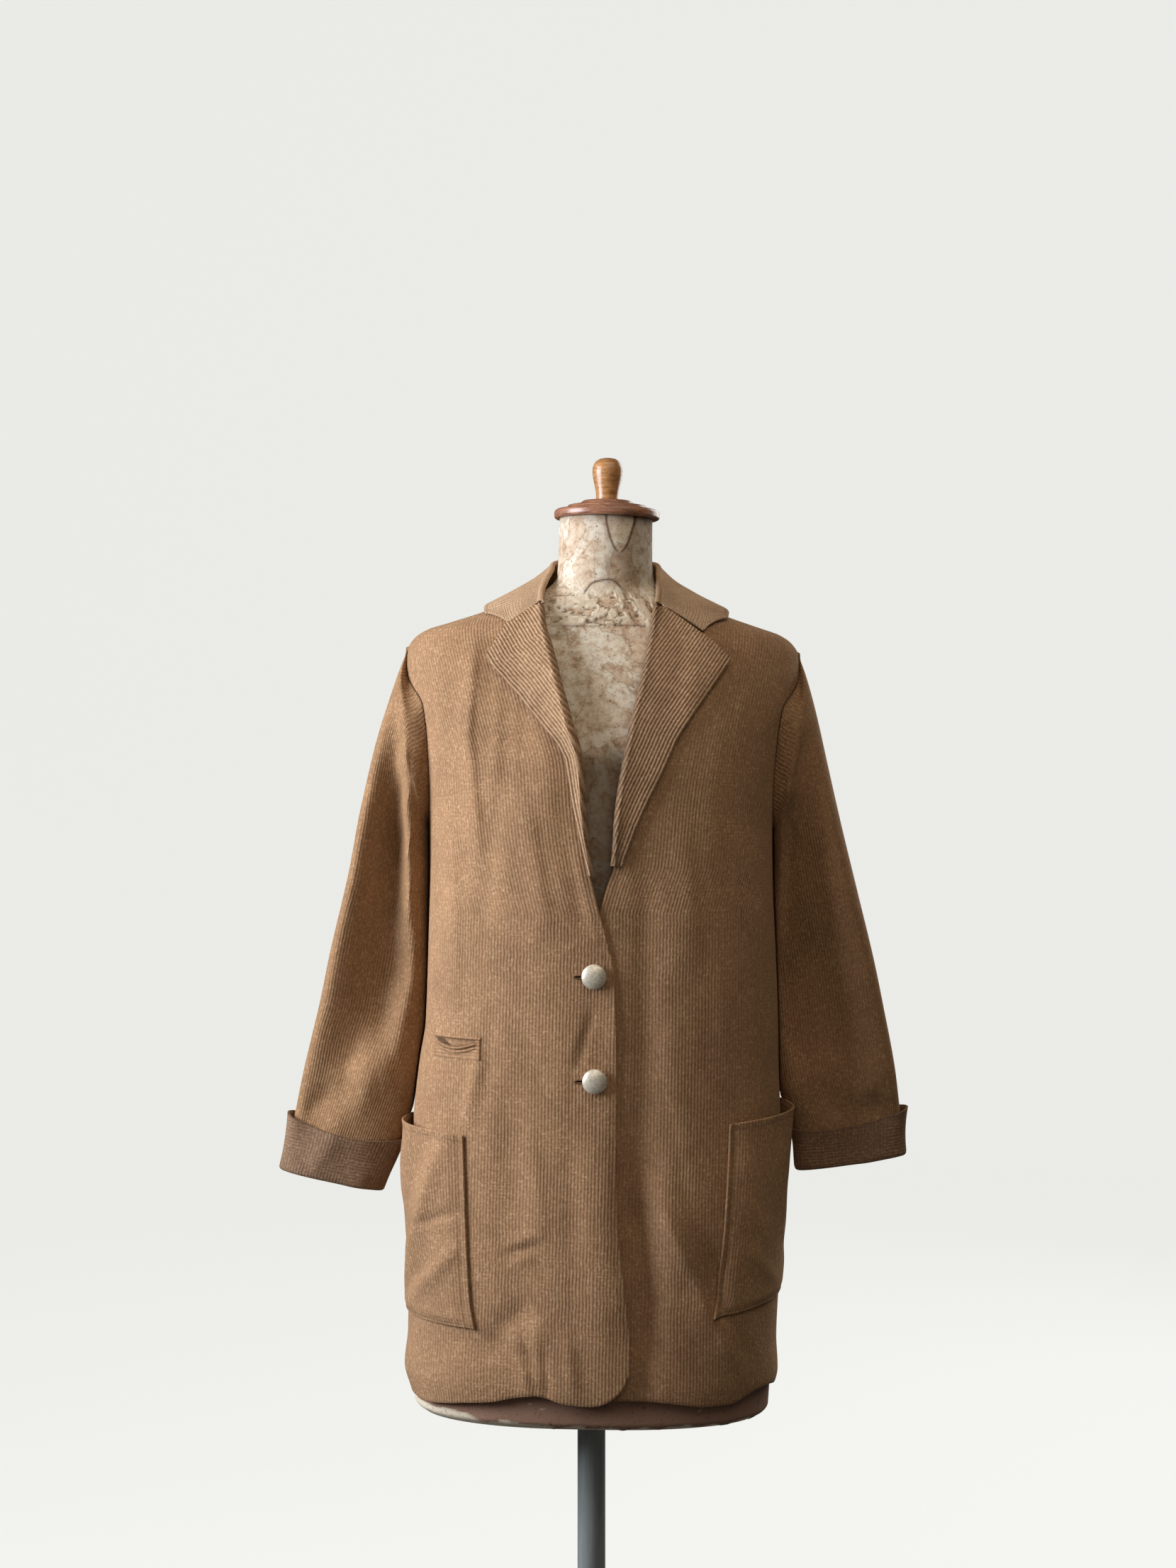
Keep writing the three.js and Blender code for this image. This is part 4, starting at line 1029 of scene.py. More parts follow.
@dataclass(frozen=True)
class VarnishedWood:
    """Turned hardwood under an old red-brown varnish, glossy with fine dark grain.

    The grain runs round the turning as bands, and the pores are short and dark.
    """

    name: str
    tones: tuple[str, str, str, str]
    grain_length: float = 16.67
    grain_width: float = 2.174
    pore: float = 1.923

    def build(self) -> Material:
        """Returns the material."""
        material, tree, shader = new_material(self.name)
        solid = add_node(tree, "TexCoord", {}).outputs["Object"]
        along, across = noise_scale(self.grain_length), noise_scale(self.grain_width)
        stretched = add_node(tree, "Mapping", {
            "Vector": solid, "Scale": (along, along, across)})
        grain = add_node(tree, "TexNoise", {
            "Vector": stretched.outputs["Vector"], "Scale": 1.0, "Detail": 5.0, "Roughness": 0.6,
            "Distortion": 0.4})
        pores = add_node(tree, "TexNoise", {
            "Vector": solid, "Scale": noise_scale(self.pore), "Detail": 3.0})
        tint = set_ramp(add_node(tree, "ValToRGB", {"Fac": grain.outputs["Fac"]}),
                        tuple(zip((0.28, 0.46, 0.6, 0.75), self.tones)))
        speck = add_node(tree, "MapRange", {
            "Value": pores.outputs["Fac"], "From Min": 0.36, "From Max": 0.5, "To Min": 0.72, "To Max": 1.0})
        coloured = add_node(tree, "VectorMath", {
            0: tint.outputs["Color"], "Scale": speck.outputs["Result"]}, operation="SCALE")
        bump = add_node(tree, "Bump", {
            "Strength": 0.25, "Distance": 0.0003, "Height": pores.outputs["Fac"]})
        rough = add_node(tree, "MapRange", {
            "Value": grain.outputs["Fac"], "To Min": 0.24, "To Max": 0.46})
        set_inputs(shader, {
            "Base Color": coloured.outputs["Vector"], "Normal": bump.outputs["Normal"],
            "Roughness": rough.outputs["Result"], "Coat Weight": 0.25, "Coat Roughness": 0.18})
        return material


@dataclass(frozen=True)
class WornMetal:
    """A satin metal whose polish has dulled unevenly, with fine grime in its pits.

    Attributes:
        grime: The size of the pits and stains, in millimetres.
        drawn: Under 1 where the metal was drawn upright, which stretches its marks.
    """

    name: str
    bright: str
    dull: str
    metallic: float
    rough_low: float
    rough_high: float
    grime: float
    drawn: float = 1.0

    def build(self) -> Material:
        """Returns the material."""
        material, tree, shader = new_material(self.name)
        solid = add_node(tree, "TexCoord", {}).outputs["Object"]
        drawn = add_node(tree, "Mapping", {
            "Vector": solid, "Scale": (1.0, 1.0, self.drawn)})
        grime = add_node(tree, "TexNoise", {
            "Vector": drawn.outputs["Vector"], "Scale": noise_scale(self.grime), "Detail": 6.0,
            "Roughness": 0.65})
        tint = add_node(tree, "MapRange", {
            "Value": grime.outputs["Fac"], "From Min": 0.35, "From Max": 0.65})
        colour = add_node(tree, "Mix", {
            "Factor": tint.outputs["Result"], "A": linear(self.dull), "B": linear(self.bright)},
            data_type="RGBA")
        rough = add_node(tree, "MapRange", {
            "Value": grime.outputs["Fac"], "From Min": 0.35, "From Max": 0.65,
            "To Min": self.rough_high, "To Max": self.rough_low})
        bump = add_node(tree, "Bump", {
            "Strength": 0.3, "Distance": 0.0002, "Height": grime.outputs["Fac"]})
        set_inputs(shader, {
            "Base Color": colour.outputs["Result"], "Normal": bump.outputs["Normal"],
            "Roughness": rough.outputs["Result"], "Metallic": self.metallic})
        return material


@dataclass(frozen=True)
class PaintedShade:
    """A plain matt surface with no light of its own, laid in a buttonhole as painted shade for its dark
    inside.
    """

    name: str
    colour: str

    def build(self) -> Material:
        """Returns the material."""
        material, _, shader = new_material(self.name)
        set_inputs(shader, {
            "Base Color": linear(self.colour), "Roughness": 0.95, "Specular IOR Level": 0.1})
        return material


@dataclass(frozen=True)
class Backdrop:
    """Matt studio paper that the camera sees over-lit, so that it throws little light back."""

    name: str
    colour: str
    seen: str
    glow: float

    def build(self) -> Material:
        """Returns the material."""
        material, tree, shader = new_material(self.name)
        path = add_node(tree, "LightPath", {})
        seen = add_node(tree, "Math", {
            0: path.outputs["Is Camera Ray"], 1: self.glow}, operation="MULTIPLY")
        set_inputs(shader, {
            "Base Color": linear(self.colour), "Roughness": 0.95, "Emission Color": linear(self.seen),
            "Emission Strength": seen.outputs["Value"]})
        return material


class Finishes:
    """Every finish of the object, made once."""

    def __init__(self) -> None:
        """Builds the materials."""
        # Wool knitted fine and washed soft: matt, with a pale fuzz, and each wale's top drawn paler as
        # painted light
        self.knit = WoolKnit("camel_wool_knit").build()
        # The same knit, darker and browner, for the sleeves
        self.sleeve_knit = WoolKnit(
            "camel_wool_knit_sleeves", ridge="#AF8963", groove="#7A5A3F", fibre="#C7A37C").build()
        # The wrong side of the knit: its courses show, and it is greyer and darker
        self.cuff_knit = WoolKnit(
            "camel_wool_knit_reverse", ridge="#97795E", groove="#6C5240", fibre="#AE9074",
            contrast=0.4, courses=0.8).build()
        # Wool knitted as a firm rib: straight and deep, each rib's top drawn paler and its groove darker as
        # painted light and shade. The real ribs are about 2.2 mm apart and are drawn wider, as the wales
        # are, so that they show
        self.rib = WoolKnit(
            "camel_wool_rib", ridge="#CBA783", groove="#7D5B40", fibre="#D6B693",
            contrast=0.8, courses=0.0, depth=0.95, wander=0.0).build()
        # The collar's knit, felted by wear: hardly any wales, a rough pale nap
        self.fuzzy = WoolKnit(
            "camel_wool_knit_felted", ridge="#C9AA8C", groove="#A78767", contrast=0.25, courses=0.9,
            depth=0.8).build()
        # Spun wool thread, a shade darker than the cloth
        self.thread = WoolKnit(
            "camel_sewing_thread", ridge="#9A7552", groove="#6A4C34", fibre="#AF8A62").build()
        # A dark matt sheet for the buttonholes' slits: painted shade
        self.dark = PaintedShade("shadow_in_a_slit", "#1C120B").build()
        self.paper = PapierMache().build()
        # Beech turned on a lathe and varnished: the cap is redder, the knob paler
        self.cap = VarnishedWood(
            "varnished_beech_cap", ("#74493A", "#9A6A51", "#B27F63", "#C49674")).build()
        self.knob = VarnishedWood(
            "varnished_beech_knob", ("#93603C", "#B4804F", "#C9945F", "#D8AC7C")).build()
        # Stamped brass, silvered: a warm pale shine with dull pits
        self.button = WornMetal(
            "silvered_brass_button", "#F0E8D6", "#C2B7A0", 0.35, 0.3, 0.5, 2.381).build()
        # Steel tube, drawn: a cool grey sheen, streaked upright
        self.pole = WornMetal(
            "drawn_steel_tube", "#AEB4B3", "#8A908F", 0.45, 0.3, 0.46, 16.67, 0.08).build()
        # Cast iron under dark paint: nearly matt, with a coarse skin
        self.iron = WornMetal("painted_cast_iron", "#3C3D3C", "#2B2B2B", 0.25, 0.42, 0.62, 8.333).build()
        self.studio = Backdrop("pale_studio_sweep", "#5E5D5B", "#EFF0EC", 0.94).build()


# The cardigan


@dataclass
class FrontPanel:
    """One front, from its front edge and roll line round to the side seam and armhole.

    Attributes:
        edge: Heights, and the x of the front edge and then of the roll line.
        hem: Angles from the front, and the hem's height.
        corner: The radius of the lower front corner.
        laps: Whether this front lies over the other.
    """

    shape: BodyShape
    side: Side
    edge: Rows
    hem: Rows
    corner: float
    laps: bool
    rows: int = 236
    columns: int = 92
    crowding: float = 1.22
    lap_lift: float = 3.0
    swing: float = 5.0
    gape: float = 1.6

    def hem_height(self, angles: Array, x: Array) -> Array:
        """Works out the hem, rounded up at the front corner.

        Args:
            angles: Degrees from the front, a column each.
            x: The x of each column.

        Returns:
            The hem's height at each column.
        """
        hem, = curves(self.hem)
        sign = self.side.value
        into = np.clip(self.corner - (x - x[0]) * sign, 0, self.corner * 0.97)
        return hem(sign * angles) + self.corner - np.sqrt(self.corner ** 2 - into ** 2)

    def loose(self, points: Array) -> Array:
        """Works out how far the lapping edge stands off.

        Args:
            points: One row of the panel.

        Returns:
            The distance at each point.
        """
        x, height = points[:, 0], points[:, 2]
        over = self.lap_lift * ease(x, -80, -30) * (1 - ease(height, 545, 600))
        below = self.swing * ease(x, -25, 36) * (1 - ease(height, 60, 330))
        between = self.gape * ease(x, 4, 18) * bell(height - 403, 34)
        return over + below + between

    def build(self) -> Panel:
        """Returns the panel's fine grid."""
        edge, = curves(self.edge)
        sign = self.side.value
        shares = np.linspace(0, 1, self.columns) ** self.crowding
        points, flat = [], []
        for level in panel_levels(self.rows):
            inner = self.shape.angle_at(float(edge(level)), level)
            outer = sign * outer_angle(level, ARMHOLE_FRONT)
            angles, across = self.shape.spread(level, inner, outer, shares)
            level_line = self.shape.point(angles, np.full(self.columns, level))
            row = self.shape.point(angles, follow_hem(level, self.hem_height(angles, level_line[:, 0])))
            if self.laps:
                row[:, 1] -= self.loose(row)
            points.append(row)
            flat.append(np.stack([across * sign, row[:, 2]], axis=-1))
        return Panel(np.array(points), -sign, np.array(flat))


@dataclass
class BackPanel:
    """The back, from side seam to side seam and from the hem to the neck."""

    shape: BodyShape
    hem: Rows = ((-180, 26), (-130, 33), (-93, 26), (93, 34), (120, 26), (150, 32), (180, 26))
    rows: int = 190
    columns: int = 112

    def build(self) -> Panel:
        """Returns the panel's fine grid."""
        hem, = curves(self.hem)
        shares = np.linspace(0, 1, self.columns)
        points, flat = [], []
        for level in panel_levels(self.rows):
            limit = outer_angle(level, ARMHOLE_BACK)
            angles, across = self.shape.spread(level, limit, 360 - limit, shares)
            signed = np.where(angles > 180, angles - 360, angles)
            points.append(self.shape.point(angles, follow_hem(level, hem(signed))))
            flat.append(np.stack([across, points[-1][:, 2]], axis=-1))
        return Panel(np.array(points), -1, np.array(flat))


def edge_marks(panel: Panel, distance: float, *rims: Rim) -> Array:
    """Marks the points near some edges of a panel.

    Args:
        panel: The cut piece.
        distance: How far in from an edge the mark reaches, in millimetres.
        rims: The edges.

    Returns:
        How near each point is, from 0 to 1.
    """
    down = arc_lengths(panel.points, 0)
    across = arc_lengths(panel.points, 1)
    away = {
        Rim.FIRST_ROW: down, Rim.LAST_ROW: down[-1:] - down,
        Rim.FIRST_COLUMN: across, Rim.LAST_COLUMN: across[:, -1:] - across,
    }
    return 1 - ease(np.minimum.reduce([away[rim] for rim in rims]), 0, distance)


def smooth_rows(rings: Array, stations: Array) -> Array:
    """Fills in rings on a smooth curve through each column.

    Args:
        rings: Rings by points by 3.
        stations: Fractional ring numbers to read at.

    Returns:
        A ring for each station.
    """
    tangent = np.gradient(rings, axis=0)
    i = np.clip(np.floor(stations).astype(int), 0, len(rings) - 2)
    u = (stations - i)[:, None, None]
    a, b = rings[i], rings[i + 1]
    ta, tb = tangent[i], tangent[i + 1]
    return (a * (2 * u**3 - 3 * u**2 + 1) + ta * (u**3 - 2 * u**2 + u)
            + b * (3 * u**2 - 2 * u**3) + tb * (u**3 - u**2))


@dataclass
class Sleeve:
    """A set-in sleeve with its head at the armhole and a soft trough down its front.

    Each ring has an outer and an inner end, how far the inner end is tucked back
    beside the body, the middle, front and back of its depth, and the place and
    depth of the trough.
    """

    shape: BodyShape
    side: Side
    rings: Rows
    creases: tuple[Fold, ...]
    rows: int = 170
    columns: int = 121
    squareness: float = 2.3
    clearance: float = 2.2
    unevenness: float = 0.45

    def trough(self, along: Array, crease: float, soft: float) -> Array:
        """Shapes the trough: steep towards the body and rounded outwards.

        Args:
            along: Places across the ring, from -1 at its inner end to 1.
            crease: The place of the trough's bottom.
            soft: How far its steep side spreads.

        Returns:
            The share of the trough's depth at each place.
        """
        inner = 1 - ease(crease - along, 0, soft)
        run = np.clip((along - crease) / max(0.97 - crease, 0.2), 0, 1)
        return np.where(along < crease, inner, 1 - run ** 2)

    def ring(self, row: tuple[float, ...], turn: Array) -> Array:
        """Shapes one ring, from its inner end up the front and down the back.

        Args:
            row: The ring's row of the table.
            turn: Shares of the way round, from 0 to 1.

        Returns:
            A point for each turn.
        """
        outer_x, outer_h, inner_x, inner_h, tuck, middle, front, back, crease, depth = row
        sign = self.side.value
        outer = np.array([sign * outer_x, middle, outer_h])
        inner = np.array([sign * inner_x, middle + tuck, inner_h])
        angle = turn * 2 * np.pi
        faces_front = turn <= 0.5
        power = 2 / self.squareness
        along = -np.sign(np.cos(angle)) * np.abs(np.cos(angle)) ** power
        bulge = np.abs(np.sin(angle)) ** power
        soft = 0.5 - 0.14 * float(ease(outer_h, 430, 620))
        hollow = np.where(faces_front, depth, depth * 0.5) * bulge * self.trough(along, crease, soft)
        points = (outer + inner) / 2 + (outer - inner) / 2 * along[:, None]
        points[:, 1] += np.where(faces_front, -(front * bulge - hollow), back * bulge - hollow)
        return points

    def armhole(self, turn: Array) -> Array:
        """Reads the armhole's edge.

        Args:
            turn: Shares of the way round, as on a ring.

        Returns:
            A point for each turn.
        """
        count = len(ARMHOLE)
        steps = np.arange(count)
        height, front, back = (Curve(tuple(steps), column) for column in zip(*ARMHOLE))
        up = turn <= 0.5
        step = np.where(up, turn, 1 - turn) * 2 * (count - 1)
        angle = np.where(up, front(step), back(step)) * self.side.value
        return self.shape.point(angle, height(step))

    def build(self) -> Panel:
        """Lays out the sleeve from the armhole to the wrist.

        Returns:
            Its fine grid.
        """
        turn = np.linspace(0, 1, self.columns)
        rings = np.array([self.armhole(turn)] + [self.ring(row, turn) for row in self.rings])
        rings[:, -1] = rings[:, 0]
        rings[0] += (rings[1] - rings[0]) * 0.03
        head = np.linspace(0, 1, SLEEVE_HEAD_ROWS) ** 1.15
        arm = np.linspace(1, len(rings) - 1, self.rows - SLEEVE_HEAD_ROWS + 1)
        stations = np.concatenate([head, arm[1:]])
        points = smooth_rows(rings, stations)
        panel = Panel(points, self.side.value, self.flat_map(points), wrap=True)
        length = arc_lengths(points, 0)
        around = np.broadcast_to(turn * 360, length.shape)
        lift = lift_of(self.creases, around, length)
        calm = ease(length, 0, 60)
        lift += self.unevenness * calm * Unevenness(31 + self.side.value, 24, 60)(around, length)
        lift *= ease(length, 0, 12)
        lift[:, -1] = lift[:, 0]
        moved = points + panel.normals * lift[..., None]
        moved = self.shape.clear_of(moved, self.clearance * ease(length, 4, 45))
        return Panel(moved, self.side.value, self.flat_map(points), wrap=True)

    def row_at(self, ring: int) -> float:
        """Returns the fractional row at which a ring of the table lies, counted from 1."""
        return SLEEVE_HEAD_ROWS - 1 + (self.rows - SLEEVE_HEAD_ROWS) * ((ring - 1) / (len(self.rings) - 1))

    def flat_map(self, points: Array) -> Array:
        """Lays the sleeve flat, with the wales along the arm.

        Args:
            points: The sleeve's grid.

        Returns:
            Each point's place on the flat piece.
        """
        around = arc_lengths(points, 1)
        width = around[:, -1:].mean()
        across = around / around[:, -1:] * width
        return np.stack([across, -arc_lengths(points, 0)], axis=-1)


@dataclass
class Cuff:
    """The sleeve's end turned back on itself, loose at its upper edge."""

    sleeve: Panel
    side: Side
    start: float
    gape: float = 1.7
    sag: float = 2.8
    fold: float = 2.6

    def build(self) -> Panel:
        """Lays out the cuff from inside the wrist, round the turned edge and up outside.

        Returns:
            Its fine grid.
        """
        last = self.sleeve.points.shape[0] - 1
        columns = self.sleeve.points.shape[1]
        column = np.arange(columns, dtype=float)
        grid = []
        radius = (WALL + LAID_GAP + self.fold) / 2 + 0.6
        middle = -WALL / 2 - 0.2
        inside = np.linspace(last - 6, last - 0.5, 5)
        for row in inside:
            grid.append(self.sleeve.at(np.full(columns, row), column, middle - radius + 0.8))
        end = self.sleeve.at(np.full(columns, float(last)), column, middle)
        along = self.sleeve.points[last] - self.sleeve.points[last - 1]
        along /= np.linalg.norm(along, axis=-1, keepdims=True)
        normal = self.sleeve.normals[last]
        for step in np.linspace(-80, 80, 9):
            turn = math.radians(step)
            grid.append(end + normal * radius * math.sin(turn) * 1.05 + along * radius * math.cos(turn))
        turn = column / (columns - 1)
        sag = self.sag * np.clip(np.sin(2 * np.pi * turn), 0, 1) ** 1.2
        outward = bell(np.abs(turn - 0.47), 0.1)
        noise = Unevenness(71 + self.side.value, 9, 6)
        for share in np.linspace(0, 1, 40):
            row = last - 0.6 + (self.start + sag - last + 0.6) * share
            uneven = noise(column, np.full(columns, share * 8))
            loose = self.gape * share ** 2 * (1 + 0.5 * uneven + 2.6 * outward)
            wave = 0.5 * noise(column * 0.7 + 40, np.full(columns, share * 10))
            grid.append(self.sleeve.at(row, column, middle + radius + 0.5 + loose + wave))
        points = np.array(grid)
        points[:, -1] = points[:, 0]
        around = arc_lengths(points, 1)
        flat = np.stack([around / around[:, -1:] * around[:, -1:].mean(), arc_lengths(points, 0)], axis=-1)
        return Panel(points, self.side.value * -1, flat, wrap=True)


@dataclass
class Lapel:
    """The top of a front turned back on its roll line, with a pointed tip and a notch.

    The outline has the x of its free edge at each height, and the roll stands proud.
    """

    front: Panel
    side: Side
    outline: Rows
    tip_row: int
    proud: float
    lip: int = 8
    columns: int = 46

    def build(self) -> tuple[Panel, Array]:
        """Lays out the lapel.

        Returns:
            Its fine grid, and how far each point lies from its front edge.
        """
        corners = np.array([row[0] for row in self.outline])
        levels = np.concatenate([np.linspace(corners[0], corners[-1], 170), corners])
        rows = []
        for height in np.unique(np.round(levels, 2)):
            row, outer = self.front.place(height, float(np.interp(height, *zip(*self.outline))))
            share = np.linspace(0, 1, self.columns)
            wide = min(outer / 12.0, 1.0)
            proud = self.proud * (1 - 0.6 * float(ease(height, 780, 815)))
            roll = 1.2 + (1.0 + proud * wide) * (1 - share) ** 1.2
            tip = 2.6 * bell(np.full_like(share, height - self.outline[self.tip_row][0]), 28)
            lifted = LAID_GAP + WALL + roll + (1.6 * wide + tip) * ease(share, 0.45, 1)
            laid = self.front.at(np.full(self.columns, row), outer * share, lifted)
            edge = self.front.at(np.array([row]), np.array([0.0]), 0.0)[0]
            inner = self.front.at(np.array([row]), np.array([0.0]), -WALL - 1.2)[0]
            into = self.front.at(np.array([row]), np.array([0.6]), 0.0)[0] - edge
            into /= max(np.linalg.norm(into), 1e-6)
            centre = (laid[0] + inner) / 2
            arm = laid[0] - centre
            turns = np.linspace(math.pi, 0, self.lip + 1)[:-1]
            reach = np.linalg.norm(arm)
            lip_points = [centre + arm * math.cos(t) - into * reach * 0.8 * math.sin(t) for t in turns]
            start = inner + into * 5
            rows.append(np.vstack([start[None], np.array(lip_points), laid]))
        points = np.array(rows)
        distance = self.distance_from_edge(points)
        flat = np.stack([distance, arc_lengths(points, 0)], axis=-1)
        return Panel(points, -self.side.value, flat), distance

    def distance_from_edge(self, points: Array) -> Array:
        """Measures from the lapel's free front edge, drawn on past its tip.

        Args:
            points: The lapel's grid.

        Returns:
            The distance of each point.
        """
        edge = points[:, -1][[h <= self.outline[self.tip_row][0] for h in points[:, -1, 2] - 1.5]]
        if len(edge) < 2:
            edge = points[:2, -1]
        best = np.full(points.shape[:2], np.inf)
        extended = np.vstack([edge, edge[-1] + (edge[-1] - edge[-3]) * 30])
        for a, b in zip(extended[:-1], extended[1:]):
            run = b - a
            t = np.clip(((points - a) @ run) / (run @ run), 0, 1)
            best = np.minimum(best, np.linalg.norm(points - a - t[..., None] * run, axis=-1))
        return best


@dataclass
class Collar:
    """The collar: a stand at the neck seam, a soft fold, and a fall with pointed ends."""

    shape: BodyShape
    stations: Rows = (
        # seam x, y, height; fold x, y, height; edge x, y, height
        (-62.5, -54, 829, -64.6, -56, 834, -123, -37, 822),
        (-64, -46, 838, -64.5, -43, 846, -124, -22, 829),
        (-69, -22, 847.5, -61, -22, 859, -119, -4, 834.5),
        (-70, 2, 848, -56, -2, 871, -110, 20, 836),
        (-66, 22, 848, -53, 17, 880, -93, 46, 832),
        (-49, 42, 848, -41, 41, 884, -64, 65, 827),
        (-25, 54, 848, -20, 54, 886, -31, 73, 824),
        (0, 58.5, 848, 0, 59, 887, 0, 76, 823),
        (25, 54, 848, 20, 54, 886, 31, 73, 824),
        (49, 42, 848, 42.5, 41, 884, 64, 65, 827),
        (66, 22, 848, 55.5, 17, 880, 94, 46, 832),
        (70, 2, 848, 57, -2, 870, 112, 20, 836),
        (68, -22, 847.5, 56.5, -24, 858, 122, -4, 834.5),
        (60, -46, 840, 56, -46, 844.5, 129, -22, 828.5),
        (52, -55, 829, 54.5, -58, 834, 128, -38, 820),
    )
    notches: Rows = ((-95.6, -67, 808.5), (101, -68, 803))
    rows: int = 190
    stand_points: int = 9
    fall_points: int = 40
    roll: float = 3.6
    roll_drop: float = 2.9
    fullness: float = 2.5
    clearance: float = 3.4

    def rest_height(self, x: float, y: float, lift: float) -> float:
        """Finds the height at which cloth lies on the shoulders, by halving.

        Args:
            x: The place across.
            y: The place from front to back.
            lift: The clearance.

        Returns:
            The height.
        """
        low, high = ARMPIT, NECK_POINT + lift
        for _ in range(22):
            middle = (low + high) / 2
            level = middle - lift
            half = float(self.shape.left(level) if x < 0 else self.shape.right(level)) + lift
            depth = float(self.shape.front(level) if y < 0 else self.shape.back(level)) + lift
            power = float(self.shape.power(level))
            if (abs(x) / half) ** power + (abs(y) / depth) ** power < 1:
                low = middle
            else:
                high = middle
        return low

    def build(self) -> Panel:
        """Lays out the collar from one front end round the neck to the other.

        Returns:
            Its fine grid.
        """
        table = np.array(self.stations, float)
        where = np.linspace(0, len(table) - 1, self.rows)
        smooth = smooth_rows(table.reshape(len(table), 3, 3), where)
        grid = []
        ends = np.minimum(np.arange(self.rows), np.arange(self.rows)[::-1])
        noise = Unevenness(51, 26, 14)
        for i, (seam, fold, edge) in enumerate(smooth):
            out = (edge - fold) * (1, 1, 0)
            out /= np.linalg.norm(out)
            drop = np.array([0, 0, -self.roll_drop])
            stand_top = fold - out * self.roll + drop
            fall_top = fold + out * self.roll + drop
            stand = seam + (stand_top - seam) * np.linspace(0, 1, self.stand_points)[:, None]
            turns = np.linspace(180, 0, 9)[1:-1]
            over = [(stand_top + fall_top) / 2 + out * self.roll * math.cos(math.radians(t))
                    + np.array([0, 0, self.roll * math.sin(math.radians(t)) * 0.85]) for t in turns]
            share = np.linspace(0, 1, self.fall_points)
            fall = fall_top + (edge - fall_top) * share[:, None]
            fall[:, 2] += self.fullness * np.sin(np.pi * share)
            notch = np.array(self.notches[0 if edge[0] < 0 else 1])
            fade = float(1 - ease(ends[i], 0, 15)) ** 2
            if fade > 0:
                at = min(max(abs(notch[0] - fall_top[0]) / abs(edge[0] - fall_top[0]), 0.05), 0.95)
                line = fall_top + (edge - fall_top) * at
                pull = np.where(share < at, share / at, (1 - share) / (1 - at))
                fall[:, 1:] += fade * pull[:, None] * (notch - line)[1:]
            for point in fall:
                point[2] = max(point[2], self.rest_height(point[0], point[1], self.clearance))
            fall[:, 2] += 0.35 * noise(np.full(self.fall_points, i * 2.2), share * 50)
            grid.append(np.vstack([stand, over, fall]))
        points = np.array(grid)
        flat = np.stack([arc_lengths(points, 1), arc_lengths(points, 0)], axis=-1)
        return Panel(points, 1, flat[..., ::-1])


@dataclass
class PatchPocket:
    """A patch pocket whose mouth hangs open, wrapped round to the side seam.

    Foot and mouth each have a height at the inner edge and one at the side seam.
    """

    front: Panel
    side: Side
    edge: Rows
    foot: tuple[float, float]
    mouth: tuple[float, float]
    gape: float
    creases: tuple[Fold, ...]
    rows: int = 150
    columns: int = 76
    drawn: tuple[float, float] = (80.0, 200.0)

    def build(self) -> tuple[Panel, Array]:
        """Lays out the pocket.

        Returns:
            Its fine grid, and how dark its stitching makes each point.
        """
        edge, = curves(self.edge)
        last = self.front.points.shape[1] - 1.15
        across = np.linspace(0, 1, self.columns)
        grid = []
        rumple = Unevenness(81 + self.side.value, 18, 26)
        for up in np.linspace(0, 1, self.rows):
            height = self.foot[0] + (self.mouth[0] - self.foot[0]) * up
            _, first = self.front.place(height, float(edge(height)))
            column = first + (last - first) * across
            rise = (self.foot[1] - self.foot[0]) * (1 - up) + (self.mouth[1] - self.mouth[0]) * up
            heights = height + rise * across
            rows = np.array([self.front.row_of(h, c) for h, c in zip(heights, column)])
            belly = np.where(across < 0.68, ease(across, 0, 0.68), 1 - ease(across, 0.68, 1.02))
            wide, tall = self.drawn
            x, y = across * wide, up * tall
            lift = self.gape * belly * up ** 1.6 + lift_of(self.creases, x, np.full_like(x, y))
            inner = ease(x, 3, 12) * ease(y, 2, 10) * ease(wide - x, 0, 6)
            lift = lift * ease(x, 0, 8) + inner * (1.7 + 0.6 * rumple(x, np.full_like(x, y)))
            raised = 0.9 * bell(x - 1.6, 1.4) - 0.5 * bell(x - 4.4, 0.9) + 0.3 * bell(x - 6.4, 1.2)
            hem = 0.6 * bell(np.full_like(x, tall - y - 2), 2.2)
            grid.append(self.front.at(rows, column, LAID_GAP + WALL + np.maximum(lift, 0) + raised + hem))
        points = np.array(grid)
        x = arc_lengths(points, 1)
        y = arc_lengths(points, 0)
        flat = np.stack([x * self.side.value, y], axis=-1)
        stitch = 0.55 * bell(x - 4.6, 1.1) + 0.5 * bell(y - 3.2, 1.0) + 0.4 * bell(y[-1:] - y - 7, 0.9)
        return Panel(points, -self.side.value, flat), np.clip(stitch, 0, 1)


